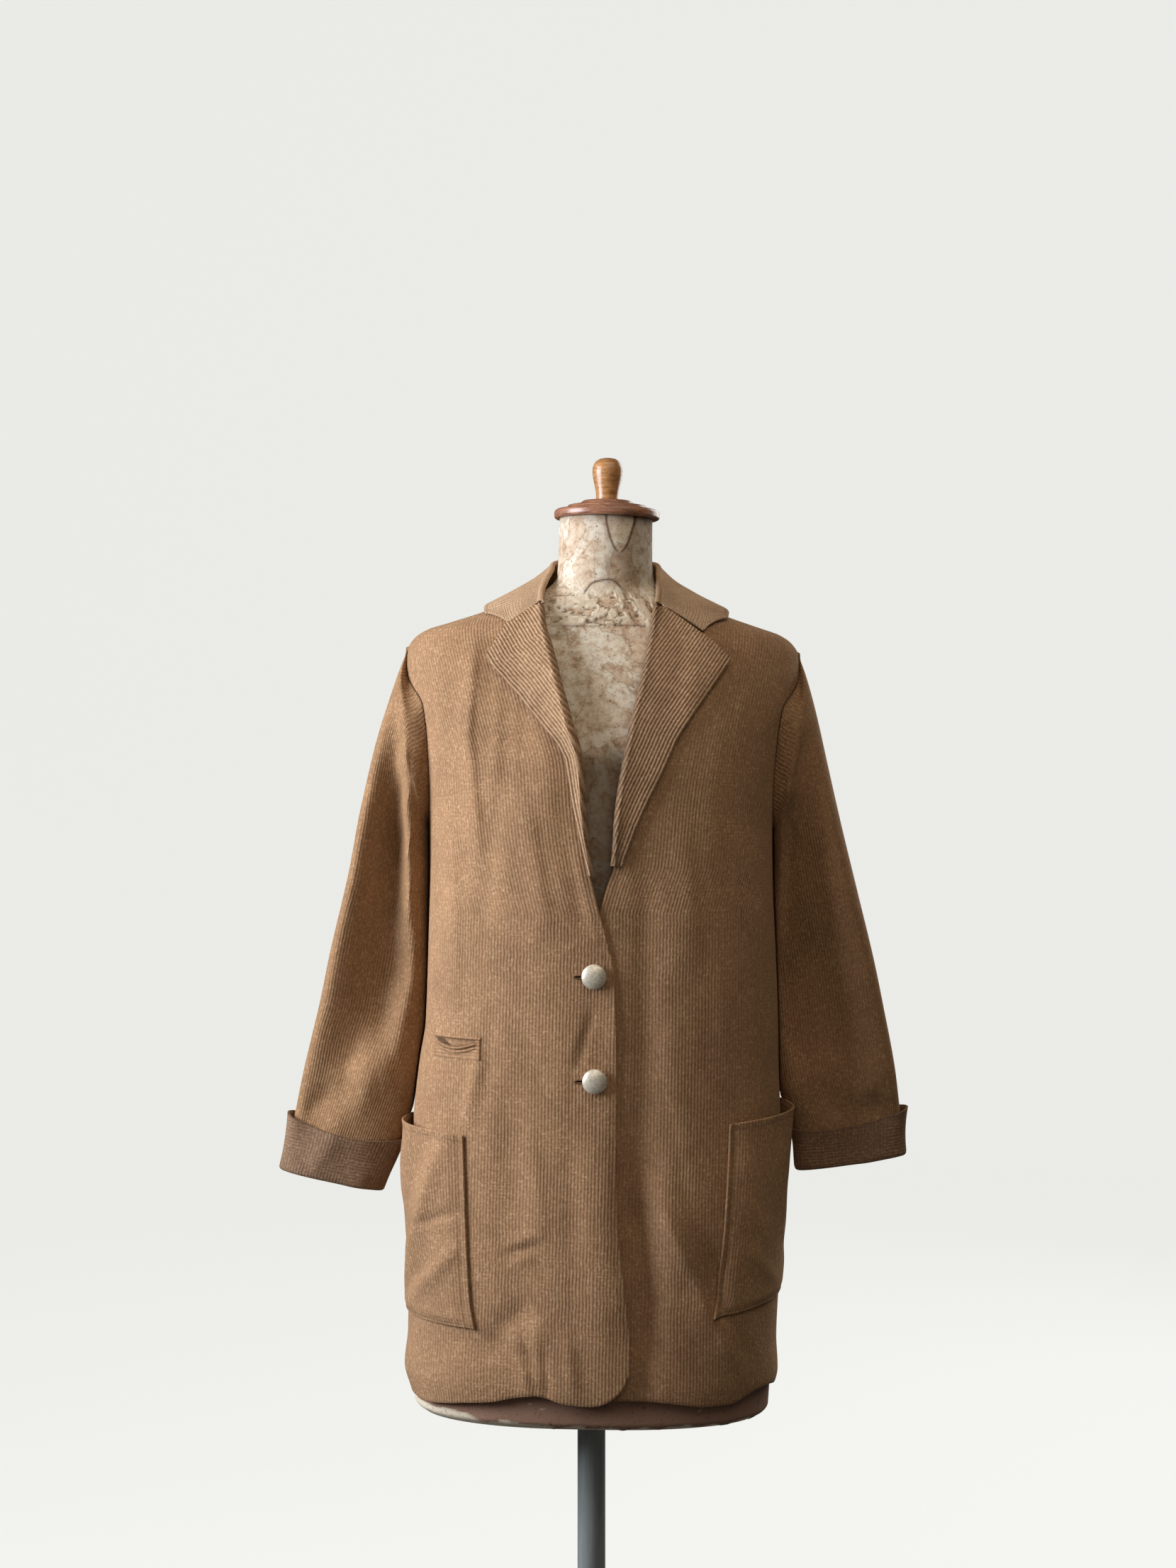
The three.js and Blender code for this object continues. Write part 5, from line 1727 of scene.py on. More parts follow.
@dataclass
class TicketPocket:
    """A small welt pocket: an upper lip, a mouth darkened as painted shade, and a lower lip that sags."""

    front: Panel
    from_x: float = -166.5
    to_x: float = -117.0
    low: float = 368.5
    high: float = 392.0
    mouth: float = 385.0
    sag: float = 6.2
    top: float = 389.4
    rows: int = 60
    columns: int = 90

    def build(self) -> tuple[Panel, Array]:
        """Lays out the welt.

        Returns:
            Its fine grid, and how dark each point is: painted shade in the mouth, and the seam lines and the
            welt's ends.
        """
        across = np.linspace(0, 1, self.columns)
        points = np.zeros((self.rows, self.columns, 3))
        dark = np.zeros((self.rows, self.columns))
        inside = ease(across, 0.05, 0.14) * (1 - ease(across, 0.88, 0.97))
        sag = self.sag * np.sin(np.pi * np.clip((across - 0.04) / 0.92, 0, 1) ** 1.15)
        for r, height in enumerate(np.linspace(self.low, self.high, self.rows)):
            lip = height - (self.mouth - sag)
            rolls = 2.7 * bell(lip, 1.6) + 1.5 * bell(lip + 4.0, 1.2)
            brow = 1.2 * bell(np.full_like(lip, height - self.top), 1.1)
            opened = inside * ease(lip, 0.9, 1.8) * float(1 - ease(height, 387.4, 388.6))
            ends = 1.1 * bell((across - 0.03) * 50, 1.0) + 0.5 * bell((across - 0.97) * 50, 0.9)
            away = 0.55 + rolls * inside + brow + ends * (height < 389) - 0.45 * opened
            agape = 2.0 + 4.6 * ease(across, 0.58, 0.84)
            deep = 0.2 + 0.8 * (1 - ease(lip, agape, agape + 1.0))
            seam = 0.6 * float(bell(np.array(height - 387.8), 0.6)) + 0.6 * bell(lip + 2.1, 0.6)
            # Painted shade darkens the open mouth, deepest where it gapes; the seam lines along the lips and
            # the welt's ends are darkened too
            dark[r] = (opened * deep + seam * inside + 0.5 * bell((across - 0.06) * 50, 0.6)
                       + 0.4 * bell((across - 0.945) * 50, 0.5))
            for c in range(self.columns):
                x = self.to_x + (self.from_x - self.to_x) * across[c]
                points[r, c] = self.front.on(height, x, away[c])
        dark = np.clip(dark, 0, 1)
        flat = np.stack([arc_lengths(points, 0), arc_lengths(points, 1)], axis=-1)
        return Panel(points, 1, flat), dark


@dataclass
class Cardigan:
    """The garment: body, lapels, collar, sleeves, cuffs, pockets and buttons."""

    finishes: Finishes
    shape: BodyShape = field(default_factory=BodyShape)
    left_edge: Rows = (
        (30, 36.5), (62, 36.5), (100, 34.5), (150, 29.5), (206, 23), (298, 19.7), (369, 18.6), (440, 16),
        (464, 14), (485, 9), (534, -4.5), (578, -14.3), (618, -20), (665, -24), (706, -36), (757, -50.5),
        (806, -63), (846, -66),
    )
    right_edge: Rows = (
        (30, -38), (100, -36), (206, -28), (298, -26), (440, -23), (463, -21), (490, -12), (517, -1),
        (545, 7), (567, 14), (627, 19), (685, 28), (761, 43.5), (803, 50.5), (832, 54), (846, 62),
    )
    left_lapel: Rows = (
        (556, -11.8), (575, -17.0), (597, -22.0), (622, -28), (640, -31.5), (670, -36.5), (684, -43.5),
        (706, -61), (731, -81.5), (756, -105), (771, -117), (789, -108), (807, -98.5), (817, -83.5),
        (826, -69.5),
    )
    right_lapel: Rows = (
        (566, 22), (574, 24), (604, 34.5), (632, 46.5), (657, 58.5), (689, 72.5), (720, 91),
        (748, 110.5), (773, 127.5), (786, 114), (797, 101.5), (812.5, 79.5), (826, 60),
    )
    left_hem: Rows = (
        (-7, 29), (-2, 28), (5, 30), (12, 37), (20, 33), (27, 28), (36, 25), (50, 20), (60, 18),
        (75, 19), (93, 23),
    )
    right_hem: Rows = (
        (-7, 34), (10, 33), (22, 29), (32, 25), (43, 25), (50, 30), (57, 36), (67, 37), (80, 34), (93, 34),
    )
    left_sleeve: Rows = (
        # outer x, outer height, inner x, inner height, tuck, middle, front, back, crease, trough
        (212, 762, 179, 596, 4, 0, 52, 52, 0.8, 3),
        (222, 730, 177, 588, 14, 0, 56, 54, 0.42, 14),
        (236, 682, 174, 577, 26, -1, 60, 56, 0.12, 30),
        (250, 615, 172, 560, 33, -3, 61, 57, -0.03, 40),
        (262, 548, 172, 520, 34, -5, 57, 54, -0.1, 41),
        (278, 475, 172, 452, 34, -7, 47, 45, -0.2, 35),
        (289, 418, 174, 394, 28, -5, 39, 37, -0.08, 27),
        (303, 356, 184, 332, 12, -2, 31, 29, 0.3, 15),
        (314, 299, 202, 276, 2, 3, 24, 22, 0.6, 6),
        (328, 243, 222, 222, 0, 5, 21, 20, 0.5, 0),
    )
    right_sleeve: Rows = (
        (212, 762, 180, 596, 4, 0, 52, 52, 0.7, 2),
        (221, 730, 178, 588, 14, 0, 56, 54, 0, 7),
        (233, 682, 176, 577, 26, -1, 60, 56, -0.3, 15),
        (249, 615, 177, 560, 32, -3, 61, 57, -0.45, 19),
        (266, 548, 177, 520, 34, -5, 57, 54, -0.55, 19),
        (285, 475, 180, 452, 34, -7, 46, 45, -0.62, 16),
        (298, 418, 183, 394, 26, -5, 38, 37, -0.6, 12),
        (310, 362, 189, 338, 12, -1, 30, 29, -0.4, 8),
        (317, 315, 206, 292, 2, 4, 23, 22, 0, 3),
        (323, 268, 211, 250, 0, 5, 20, 20, 0.5, 0),
    )
    sleeve_creases: tuple[Fold, ...] = folds((
        # turn in degrees round the sleeve and millimetres along it
        (70, 40, 96, 130, 16, 1.0, 0.2),
        (60, 330, 100, 400, 10, 2.4, 0.3),
        (80, 380, 126, 440, 9, 2.2),
        (110, 430, 140, 490, 8, -2.2),
        (50, 420, 74, 490, 8, 2.0, -0.3),
        (96, 470, 112, 520, 8, 1.8),
        (230, 260, 262, 330, 11, 2.6, 0.3),
        (262, 330, 238, 400, 10, -2.2),
        (240, 60, 258, 170, 12, 2.0),
        (286, 380, 270, 470, 10, 2.0, 0.2),
        (14, 90, 30, 200, 8, 1.4),
    ))
    cuff_ring: int = 9
    left: Panel = field(init=False)
    right: Panel = field(init=False)

    def dress(self, panel: Panel, name: str, material: Material, groove: Array,
              wall: float = WALL, rounding: float = 0.7) -> Object:
        """Makes a piece of cloth from a panel, in the place of its CAD node.

        Args:
            panel: The cut piece.
            name: The node that the piece stands for.
            material: Its finish.
            groove: How dark each point is drawn: stitching and seams, and painted shade on
                the lapels' rolls and in the ticket pocket's mouth.
            wall: The cloth's thickness.
            rounding: The rounding of its cut edges.

        Returns:
            The piece.
        """
        mesh = cloth_mesh(panel, name + "_cloth", {"groove": groove})
        piece = object_from(mesh, name + "_cloth", material)
        give_thickness(piece, wall, rounding)
        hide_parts(name)
        return piece

    def declare(self, piece: Object, panel: Panel) -> None:
        """Logs the size that a piece's grid measures flat: its width, its length and its area.

        Args:
            piece: The piece.
            panel: Its cut piece.
        """
        width = float(arc_lengths(panel.points, 1)[:, -1].max()) / 1000
        length = float(arc_lengths(panel.points, 0)[-1].max()) / 1000
        cells = np.linalg.norm(np.cross(np.diff(panel.points, axis=0)[:, :-1],
                                        np.diff(panel.points, axis=1)[:-1]), axis=-1)
        area = float(cells.sum()) / 1e6
        area = min(max(area, 0.31 * width * length), width * length)
        log.info("%s: cut %.3f by %.3f m, %.4f square metres", piece.name, width, length, area)

    def build(self) -> None:
        """Builds every piece of the garment, the body first."""
        self.left = FrontPanel(
            self.shape, Side.LEFT, self.left_edge, self.left_hem, 42.0, laps=True).build()
        self.right = FrontPanel(
            self.shape, Side.RIGHT, self.right_edge, self.right_hem, 30.0, laps=False).build()
        self.build_body()
        self.build_lapels_and_collar()
        self.build_sleeves()
        self.build_pockets()
        self.build_buttons()

    def build_body(self) -> None:
        """Builds the fronts and the back."""
        for panel, name in ((self.left, "front_lapping_over"), (self.right, "front_lapping_under")):
            groove = 0.35 * edge_marks(panel, 2.5, Rim.LAST_COLUMN)
            groove = groove + 0.3 * edge_marks(panel, 2.0, Rim.FIRST_ROW)
            edge = arc_lengths(panel.points, 1)
            below_roll = 1 - ease(panel.points[..., 2], 560, 600)
            groove = groove + 0.3 * bell(edge - 7.0, 1.2) * below_roll
            piece = self.dress(panel, name, self.finishes.knit, np.clip(groove, 0, 1))
            self.declare(piece, panel)
        back = BackPanel(self.shape).build()
        groove = 0.35 * edge_marks(back, 2.5, Rim.FIRST_COLUMN, Rim.LAST_COLUMN)
        groove = groove + 0.3 * edge_marks(back, 2.0, Rim.FIRST_ROW)
        piece = self.dress(back, "back", self.finishes.knit, groove)
        self.declare(piece, back)

    def build_lapels_and_collar(self) -> None:
        """Builds both lapels and the collar."""
        lapels = (
            # lapel, name, front, how dark the roll's painted shade is
            (Lapel(self.left, Side.LEFT, self.left_lapel, 10, 11.0),
             "lapel_over", "front_lapping_over", 0.35),
            (Lapel(self.right, Side.RIGHT, self.right_lapel, 8, 5.0),
             "lapel_under", "front_lapping_under", 0.7),
        )
        for lapel, name, under, roll_painted_shade in lapels:
            panel, distance = lapel.build()
            rolled = arc_lengths(panel.points, 1)
            # The line 3.2 mm in from the free edge is stitching; the roll's darkening is painted shade that
            # tones down the lit roll
            groove = 0.5 * bell(distance - 3.2, 0.8) + roll_painted_shade * (1 - ease(rolled, 16, 30))
            piece = self.dress(panel, name, self.finishes.rib, np.clip(groove, 0, 1))
            self.declare(piece, panel)
        collar = Collar(self.shape).build()
        edge = arc_lengths(collar.points, 1)
        groove = 0.5 * bell(edge[:, -1:] - edge - 4.0, 0.9)
        piece = self.dress(collar, "collar", self.finishes.fuzzy, np.clip(groove, 0, 1))
        self.declare(piece, collar)

    def build_sleeves(self) -> None:
        """Builds the sleeves and their cuffs."""
        for side, rings, label in (
                (Side.LEFT, self.left_sleeve, "left"), (Side.RIGHT, self.right_sleeve, "right")):
            cut = Sleeve(self.shape, side, rings, self.sleeve_creases)
            sleeve = cut.build()
            groove = 0.6 * edge_marks(sleeve, 3.0, Rim.FIRST_ROW)
            piece = self.dress(sleeve, "sleeve_" + label, self.finishes.sleeve_knit, groove)
            self.declare(piece, sleeve)
            cuff = Cuff(sleeve, side, cut.row_at(self.cuff_ring)).build()
            groove = 0.5 * edge_marks(cuff, 1.5, Rim.LAST_ROW)
            piece = self.dress(cuff, "cuff_" + label, self.finishes.cuff_knit, groove, wall=2.2)
            self.declare(piece, cuff)

    def build_pockets(self) -> None:
        """Builds both patch pockets and the ticket pocket."""
        left_creases = folds((
            # across from the inner edge and up from the foot
            (15, 190, 56, 22, 6, 4.8, 0.2), (27, 197, 72, 46, 6, -3.4), (44, 194, 79, 90, 8, 3.2),
            (5, 122, 40, 94, 4.5, -1.8), (5, 86, 44, 16, 6, 3.0), (26, 66, 62, 12, 6, -2.0)))
        right_creases = folds((
            (12, 180, 30, 70, 7, 2.2, 0.2), (40, 160, 56, 60, 8, 2.0), (16, 70, 44, 18, 6, 2.0),
            (60, 120, 70, 40, 7, -1.4)))
        left_edge = ((98, -117), (128, -122.5), (200, -127.5), (294, -132))
        right_edge = ((113, 119), (193, 127.5), (280, 131.5), (307, 132))
        pockets = (
            (PatchPocket(self.left, Side.LEFT, left_edge, (100, 104), (293, 301), 8.5, left_creases),
             "patch_pocket_left", "front_lapping_over"),
            (PatchPocket(self.right, Side.RIGHT, right_edge, (114, 133), (308, 322), 11.0, right_creases),
             "patch_pocket_right", "front_lapping_under"),
        )
        for pocket, name, under in pockets:
            panel, stitch = pocket.build()
            piece = self.dress(panel, name, self.finishes.knit, stitch, rounding=0.8)
            self.declare(piece, panel)
        # The welt's dark marks are mostly painted shade in its open mouth
        welt, dark = TicketPocket(self.left).build()
        piece = self.dress(welt, "ticket_pocket", self.finishes.knit, dark, wall=0.9, rounding=0.3)
        self.declare(piece, welt)

    def build_buttons(self) -> None:
        """Builds the two buttons with their threads and the buttonholes beside them."""
        dome = smooth_profile(((0, 8.1), (4.4, 7.7), (8.6, 6.5), (11.3, 5.0), (12.4, 3.9)), 16)
        rim = ((12.5, 3.4), (12.2, 2.9), (11.4, 2.6), (4.4, 2.3), (4.2, 0.2), (0, 0.2))
        for name, x, height in (("button_upper", -4.7, 455.8), ("button_lower", -2.4, 351.7)):
            row, column = self.left.place(height, x)
            seat = self.left.at(np.array(row), np.array(column), 0.3)
            mesh = spun_mesh(dome + rim, 48, name + "_dome")
            place_mesh(mesh, lambda p, seat=seat: to_row(
                np.stack([p[:, 0] + seat[0], seat[1] - p[:, 2], p[:, 1] + seat[2]], axis=-1)))
            close_up(mesh)
            piece = object_from(mesh, name + "_metal", self.finishes.button)
            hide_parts(name)
            self.build_buttonhole(name.replace("button_", "buttonhole_"), x - 12.0, height - 0.6)

    def build_buttonhole(self, name: str, x: float, height: float) -> None:
        """Builds the thread round a buttonhole's slit, and a dark sheet in the slit as painted shade.

        Args:
            name: The piece's name.
            x: The slit's middle.
            height: Its height.
        """
        count, around = 44, 8
        points = np.zeros((count + 1, around + 1, 3))
        for i in range(count + 1):
            t = 2 * math.pi * i / count
            px = 8.0 * math.copysign(abs(math.cos(t)) ** 0.6, math.cos(t))
            ph = 1.5 * math.copysign(abs(math.sin(t)) ** 0.8, math.sin(t))
            base = self.left.on(height + ph, x + px, 0.25)
            out = np.array([px * 0.12, 0, ph * 1.2])
            out /= max(np.linalg.norm(out), 1e-6)
            up = self.left.on(height + ph, x + px, 1.25) - base
            twist = 0.8 + 0.12 * math.cos(i * math.pi)
            for j in range(around + 1):
                a = 2 * math.pi * j / around
                points[i, j] = base + (out * math.cos(a) + up * (math.sin(a) * 0.8 + 0.4)) * twist
        panel = Panel(points, 1, np.zeros(points.shape[:2] + (2,)), wrap=True)
        mesh = cloth_mesh(panel, name, {"groove": np.full(points.shape[:2], 0.3)})
        close_up(mesh)
        piece = object_from(mesh, name + "_thread", self.finishes.thread)
        # A dark sheet laid just over the slit: painted shade for the opening
        slit = np.zeros((5, 25, 3))
        for r in range(5):
            for c in range(25):
                along = (c / 24 - 0.5) * 15
                span = 0.75 * (1 - (2 * c / 24 - 1) ** 4)
                slit[r, c] = self.left.on(height + (r / 4 - 0.5) * 2 * span, x + along, 0.16)
        panel = Panel(slit, -1, np.zeros(slit.shape[:2] + (2,)))
        mesh = cloth_mesh(panel, name + "_slit", {})
        piece = object_from(mesh, name + "_slit", self.finishes.dark)


@dataclass
class DressForm:
    """The limbless antique form: torso and neck in papier-mache, turned cap and knob."""

    finishes: Finishes
    shape: BodyShape
    torso: Rows = (
        # height, half width, front, back, power
        (0, 178, 104, 101, 2.4), (8, 184, 109, 106, 2.4), (60, 185.5, 110, 108, 2.4),
        (130, 182, 108, 107, 2.4), (220, 164, 100, 98, 2.3), (330, 131, 86, 82, 2.2),
        (400, 133, 88, 79, 2.2), (500, 153, 106, 83, 2.2), (600, 167, 113, 90, 2.2),
        (660, 173, 111, 93, 2.2), (720, 187, 101, 92, 2.1), (762, 198, 89, 84, 2),
        (782, 196.5, 80, 76, 1.8),
    )
    shoulders: Rows = ((796, 1.5), (805, 1.65), (812, 1.7), (824, 1.8), (836, 1.9), (846, 1.9))
    neck: Rows = (
        (852, 57, 48, 53, 2), (862, 50.5, 48.5, 50.5, 2), (880, 49, 49, 49, 2), (923, 48.5, 48.5, 48.5, 2),
    )
    cap: Rows = (
        (0, 0), (53.4, 0), (54.7, 1.0), (55.0, 2.6), (55.0, 6.0), (54.4, 8.0), (52.6, 9.2), (44.2, 9.6),
        (42.6, 10.1), (42.2, 12.0), (40.6, 13.7), (36.5, 14.3), (29.4, 14.4), (28.0, 15.2), (27.3, 17.2),
        (25.2, 18.8), (18, 19.2), (0, 19.2),
    )
    knob: Rows = (
        (0, 0), (11.4, 0), (12.1, 0.8), (11.8, 2.4), (11.6, 5), (12.2, 10), (13.4, 16), (14.7, 22),
        (15.6, 27), (15.9, 31), (15.5, 35), (14.2, 38.6), (11.8, 41.6), (8.4, 43.6), (4.4, 44.5), (0, 44.7),
    )
    cap_foot: float = 923.3
    knob_foot: float = 942.6
    # Marks that the photograph shows: the drawn drip's middle and foot, and an arc's middle and radius
    drip: tuple[float, float] = (15.3, 885.0)
    arc: tuple[float, float, float] = (-1.0, 838.0, 18.0)
    columns: int = 241

    def levels(self) -> Rows:
        """Joins the outline's three tables: hips to bust, shoulders, and neck.

        Returns:
            Rows of height, half width, front, back and power.
        """
        shoulders = tuple(
            (level - 2.7, float(self.shape.right(level)) - 1, float(self.shape.front(level)) - 5,
             float(self.shape.back(level)) - 5, power) for level, power in self.shoulders)
        return self.torso + shoulders + self.neck

    def build(self) -> None:
        """Builds the torso with its neck, then the cap and the knob."""
        half, front, back, power = curves(self.levels())
        heights = np.concatenate([
            [0.0, 0.8, 2.2, 3.4, 4.8, 6.4], np.linspace(8, 52, 30), np.linspace(57, 780, 126),
            np.linspace(783, 846, 40), np.linspace(848, 923, 46)])
        turn = np.linspace(0, 2 * np.pi, self.columns)
        turn = turn - 0.5 * np.sin(turn)
        points = []
        for h in heights:
            x, y = oval(turn, half(h), np.where(np.cos(turn) > 0, front(h), back(h)), power(h))
            inset = 1 - 0.012 * (1 - ease(h, 0, 4))
            shift = NECK_CENTRE * ease(h, 846, 862)
            points.append(np.stack([x * inset + shift, y * inset, np.full_like(x, h)], axis=-1))
        points = np.array(points)
        points[:, -1] = points[:, 0]
        panel = Panel(points, -1, points[..., :2], wrap=True)
        marks, lift = self.wear(points)
        lift[:, -1] = lift[:, 0]
        moved = Panel(points + panel.normals * lift[..., None], -1, points[..., :2], wrap=True)
        mesh = cloth_mesh(moved, "form_skin", marks)
        close_up(mesh)
        piece = object_from(mesh, "form_body", self.finishes.paper)
        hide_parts("form")
        self.build_turning("form_cap", self.cap_foot, self.cap, self.finishes.cap)
        self.build_turning("form_knob", self.knob_foot, self.knob, self.finishes.knob)

    def wear(self, points: Array) -> tuple[dict[str, Array], Array]:
        """Works out the form's torn paper, chips and stains, and the painted shade on its neck and lower
        chest.

        Args:
            points: The form's smooth surface.

        Returns:
            How much paint, stain and painted shade, and chip each point has, and how far it is raised.
        """
        x, y, h = points[..., 0], points[..., 1], points[..., 2]
        around = x + 0.7 * y
        wander = Unevenness(95, 14, 18)(x, h)
        fine = Unevenness(94, 3.4, 2.6)(around, h)
        torn = Unevenness(91, 8, 5)(around + 4 * wander, h + 2 * fine) + 0.55 * fine
        band = ease(h, 805, 810) * (1 - ease(h + 6 * wander, 836, 848))
        flake = ease(torn, -0.06, 0.04) * band
        gap = bell(torn + 0.16, 0.12) * band
        curl = bell(torn - 0.06, 0.1) * band
        hem_line = 0.6 * bell(h - 808 + 1.2 * wander, 1.1) * ease(x, -55, -30) * (1 - ease(x, 38, 52))
        chipping = Unevenness(93, 17, 12)(around, h) + 0.3 * fine
        bare = 3.2 - 2.0 * ease(x, 20, 90) + 9.0 * np.clip((-x - 20) / 150, 0, 1) ** 1.5 + 4.5 * chipping
        scuffed = 0.6 * ease(chipping, 0.86, 0.98) * (h < 34)
        chips = np.maximum(0.9 * (1 - ease(h - bare, 0, 1.3)), scuffed)
        paint = (1 - ease(h + 6 * wander, 60, 90))
        drip_x, drip_foot = self.drip
        drip_half = 14.5 * np.sqrt(np.clip((h - drip_foot) / 32, 0, 1))
        drip = bell(np.abs(x - drip_x) - drip_half + 0.6 * wander, 1.3)
        drip = drip * ease(h, drip_foot - 2, drip_foot + 2)
        inside = ease(drip_half - np.abs(x - drip_x), 0, 2)
        arc_x, arc_foot, radius = self.arc
        ring = np.hypot((x - arc_x) * 0.9, (h - arc_foot) * 0.95) - radius + 1.5 * wander
        above = ease(h, arc_foot, arc_foot + 4)
        arc = bell(ring, 1.1) * above
        patch = (1 - ease(ring, -2, 0)) * above
        # The neck is browner all round; its right side is darker still as painted shade on the side away
        # from the light
        right_neck = (0.12 + 0.2 * ease(x + 8 * wander, 6, 26)) * ease(h, 846, 856) * (1 - inside)
        top = 0.35 * ease(h + 5 * wander, 912, 924)
        # The lower chest is darker and browner: partly a browner tone, partly painted shade in the V under
        # the garment
        low_chest = 0.68 * (1 - ease(h + 9 * wander, 664, 694)) * ease(h, 90, 130)
        drawn = np.maximum(drip, arc) * (y < 0)
        stain_and_painted_shade = 0.85 * drawn + 0.8 * gap + hem_line + right_neck + top + low_chest
        lift = (1.3 * flake + 0.9 * curl - 0.6 * gap - 0.7 * chips
                + 0.4 * Unevenness(92, 60, 70)(around, h) * (1 - ease(h, 740, 790)))
        pale = 0.5 * flake + 0.45 * curl + 0.4 * patch * (y < 0) + 0.25 * inside * (y < 0)
        marks = {"paint": paint, "stain_and_painted_shade": np.clip(stain_and_painted_shade, 0, 0.9), "chip": np.clip(chips + pale, 0, 1)}
        return marks, lift

    def build_turning(self, name: str, foot: float, profile: Rows, finish: Material) -> None:
        """Builds a turned piece on the neck.

        Args:
            name: The node that it stands for.
            foot: Its foot's height.
            profile: Its radius and height.
            finish: Its wood.
        """
        mesh = spun_mesh(smooth_corners(profile), 72, name + "_turned", (NECK_CENTRE + 1, 0))
        place_mesh(mesh, lambda p: to_row(p + np.array([0, 0, foot])))
        piece = object_from(mesh, name + "_turned", finish)
        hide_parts(name)


def smooth_corners(profile: Rows) -> Rows:
    """Adds points close to the corners of a profile, so that it shades crisply.

    Args:
        profile: Rows of radius and height.

    Returns:
        The fuller profile.
    """
    dense: list[tuple[float, float]] = []
    for (r0, h0), (r1, h1) in zip(profile, profile[1:]):
        shares = (0, 0.2, 0.8) if math.hypot(r1 - r0, h1 - h0) > 3 else (0,)
        dense += [(r0 + (r1 - r0) * t, h0 + (h1 - h0) * t) for t in shares]
    return (*dense, profile[-1])


@dataclass
class PoleStand:
    """The steel pole and the plain round iron base, each a profile of radius and height."""

    finishes: Finishes
    pole: Rows = (
        (0, 6.3), (13.9, 6.3), (14.5, 6.9), (14.5, 200), (14.5, 400), (14.5, 618.6), (13.9, 619.2),
        (0, 619.2),
    )
    base: Rows = (
        (0, 0), (157, 0), (159.4, 1.0), (160, 3), (160, 8.4), (158.9, 11.6), (156, 13.4), (151, 14.0),
        (70, 15.4), (38, 17.6), (31.4, 20.4), (28.2, 25), (27, 31), (27, 43.4), (26.2, 45.4), (24.4, 46),
        (14.8, 46), (14.8, 6), (0, 6),
    )
    corner: float = 0.4

    def build(self) -> None:
        """Builds the pole and the base, upright on the floor."""
        self.turned("pole", "pole_tube", self.pole, 48, self.finishes.pole)
        self.turned("base", "base_casting", self.base, 96, self.finishes.iron)

    def turned(self, node: str, name: str, profile: Rows, steps: int, finish: Material) -> None:
        """Builds one turned piece, in the place of its CAD node.

        Args:
            node: The node.
            name: The piece's name.
            profile: Its radius and height.
            steps: Segments round it.
            finish: Its metal.
        """
        mesh = spun_mesh(profile, steps, name)
        place_mesh(mesh, lambda p: p / 1000)
        piece = object_from(mesh, name, finish)
        self.crisp(piece)
        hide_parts(node)

    def crisp(self, piece: Object) -> None:
        """Rounds the sharp corners of a turned piece by a hair, so that they catch light."""
        bevel = piece.modifiers.new("eased_corners", "BEVEL")
        bevel.width = self.corner / 1000
        bevel.segments = 2
        bevel.limit_method = "ANGLE"
        bevel.angle_limit = math.radians(40)


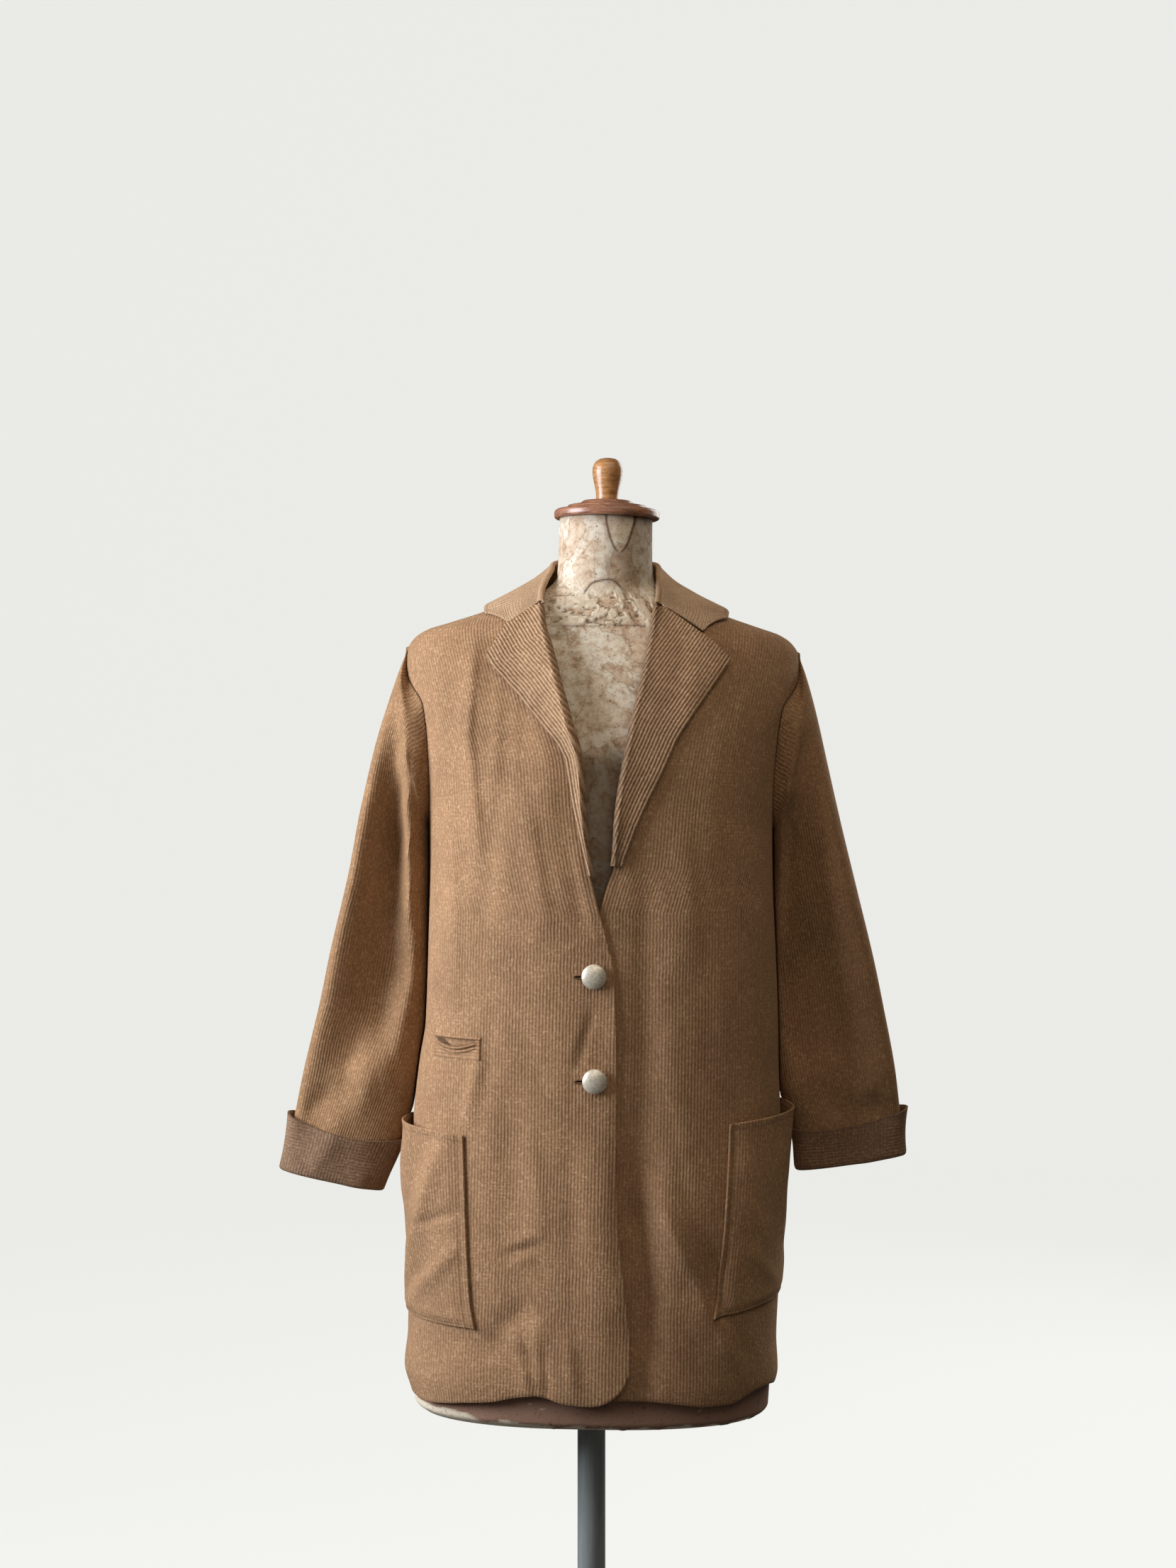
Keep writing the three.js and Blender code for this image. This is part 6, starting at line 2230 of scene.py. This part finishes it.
@dataclass
class Studio:
    """A pale round sweep with soft light from the left, and the photograph's camera.

    Its sizes are in metres, but for the focal length, in the photograph's pixels.
    """

    finishes: Finishes
    reach: float = 6.5
    bend: float = 1.5
    wall: float = 7.0
    lights: tuple[tuple[str, Place, Place, float, float, str], ...] = (
        # name, place, target, size in metres, power in watts, colour
        ("window", (-1.65, -0.55, 1.58), (0.0, -0.05, 1.25), 1.1, 60.0, "#F0F5FF"),
        ("overhead", (0.6, -1.4, 3.1), (0.0, 0.0, 1.3), 2.0, 20.0, "#FFF3E2"),
        ("front_fill", (-0.3, -3.2, 2.7), (0.0, 0.0, 1.2), 2.5, 10.5, "#FFEEDA"),
        ("back_light", (2.0, 2.4, 2.2), (0.0, 0.0, 1.05), 2.2, 52.0, "#FFFCF8"),
    )
    surroundings: tuple[str, float] = ("#F2DCBE", 0.12)
    photo_height: int = 2212
    focal_length: int = 3378
    eye: Place = (-0.0036, -2.5, 1.207)

    def build(self) -> None:
        """Builds the sweep, the lights, the surrounding light and the camera."""
        foot = self.reach - self.bend
        profile = [(0.0, 0.0), (foot, 0.0)]
        profile += [(foot + self.bend * math.sin(a), self.bend - self.bend * math.cos(a))
                    for a in np.linspace(0, math.pi / 2, 12)[1:]]
        profile += [(self.reach, self.wall)]
        mesh = spun_mesh(tuple(profile), 96, "studio_sweep")
        mesh.flip_normals()
        sweep = bpy.data.objects.new("studio_sweep", mesh)
        bpy.context.scene.collection.objects.link(sweep)
        mesh.materials.append(self.finishes.studio)
        mesh.shade_smooth()
        place_mesh(mesh, lambda p: p - np.array([0, 0, 0.0002]))
        for light in self.lights:
            self.light(*light)
        colour, strength = self.surroundings
        world = bpy.data.worlds.new("soft_surroundings")
        bpy.context.scene.world = world
        world.use_nodes = True
        world.node_tree.nodes["Background"].inputs["Color"].default_value = linear(colour)
        world.node_tree.nodes["Background"].inputs["Strength"].default_value = strength
        bpy.context.scene.view_settings.view_transform = "Standard"
        self.camera()

    def light(self, name: str, place: Place, target: Place, size: float, power: float,
              colour: str) -> None:
        """Adds a square soft light.

        Args:
            name: The light's name.
            place: Where it stands, in metres.
            target: What it points at.
            size: Its side.
            power: Its power, in watts.
            colour: Its colour, as an sRGB hex value.
        """
        data = bpy.data.lights.new(name, "AREA")
        data.shape = "SQUARE"
        data.size = size
        data.energy = power
        data.color = linear(colour)[:3]
        lamp = bpy.data.objects.new(name, data)
        lamp.location = place
        lamp.rotation_euler = (Vector(target) - Vector(place)).to_track_quat("-Z", "Y").to_euler()
        bpy.context.scene.collection.objects.link(lamp)

    def camera(self) -> None:
        """Adds the level camera, 2.5 m in front of the pole and a little to the left."""
        data = bpy.data.cameras.new("photograph")
        data.sensor_width = 36
        data.lens = 36 * self.focal_length / self.photo_height
        eye = bpy.data.objects.new("photograph", data)
        eye.location = self.eye
        eye.rotation_euler = (math.pi / 2, 0, 0)
        bpy.context.scene.collection.objects.link(eye)
        bpy.context.scene.camera = eye


def main() -> None:
    """Builds the stand, the form, the garment and the studio."""
    logging.basicConfig(level=logging.INFO, format="%(name)s: %(message)s")
    finishes = Finishes()
    PoleStand(finishes).build()
    cardigan = Cardigan(finishes)
    DressForm(finishes, cardigan.shape).build()
    cardigan.build()
    Studio(finishes).build()
    bpy.context.view_layer.update()


if __name__ == "__main__":
    main()
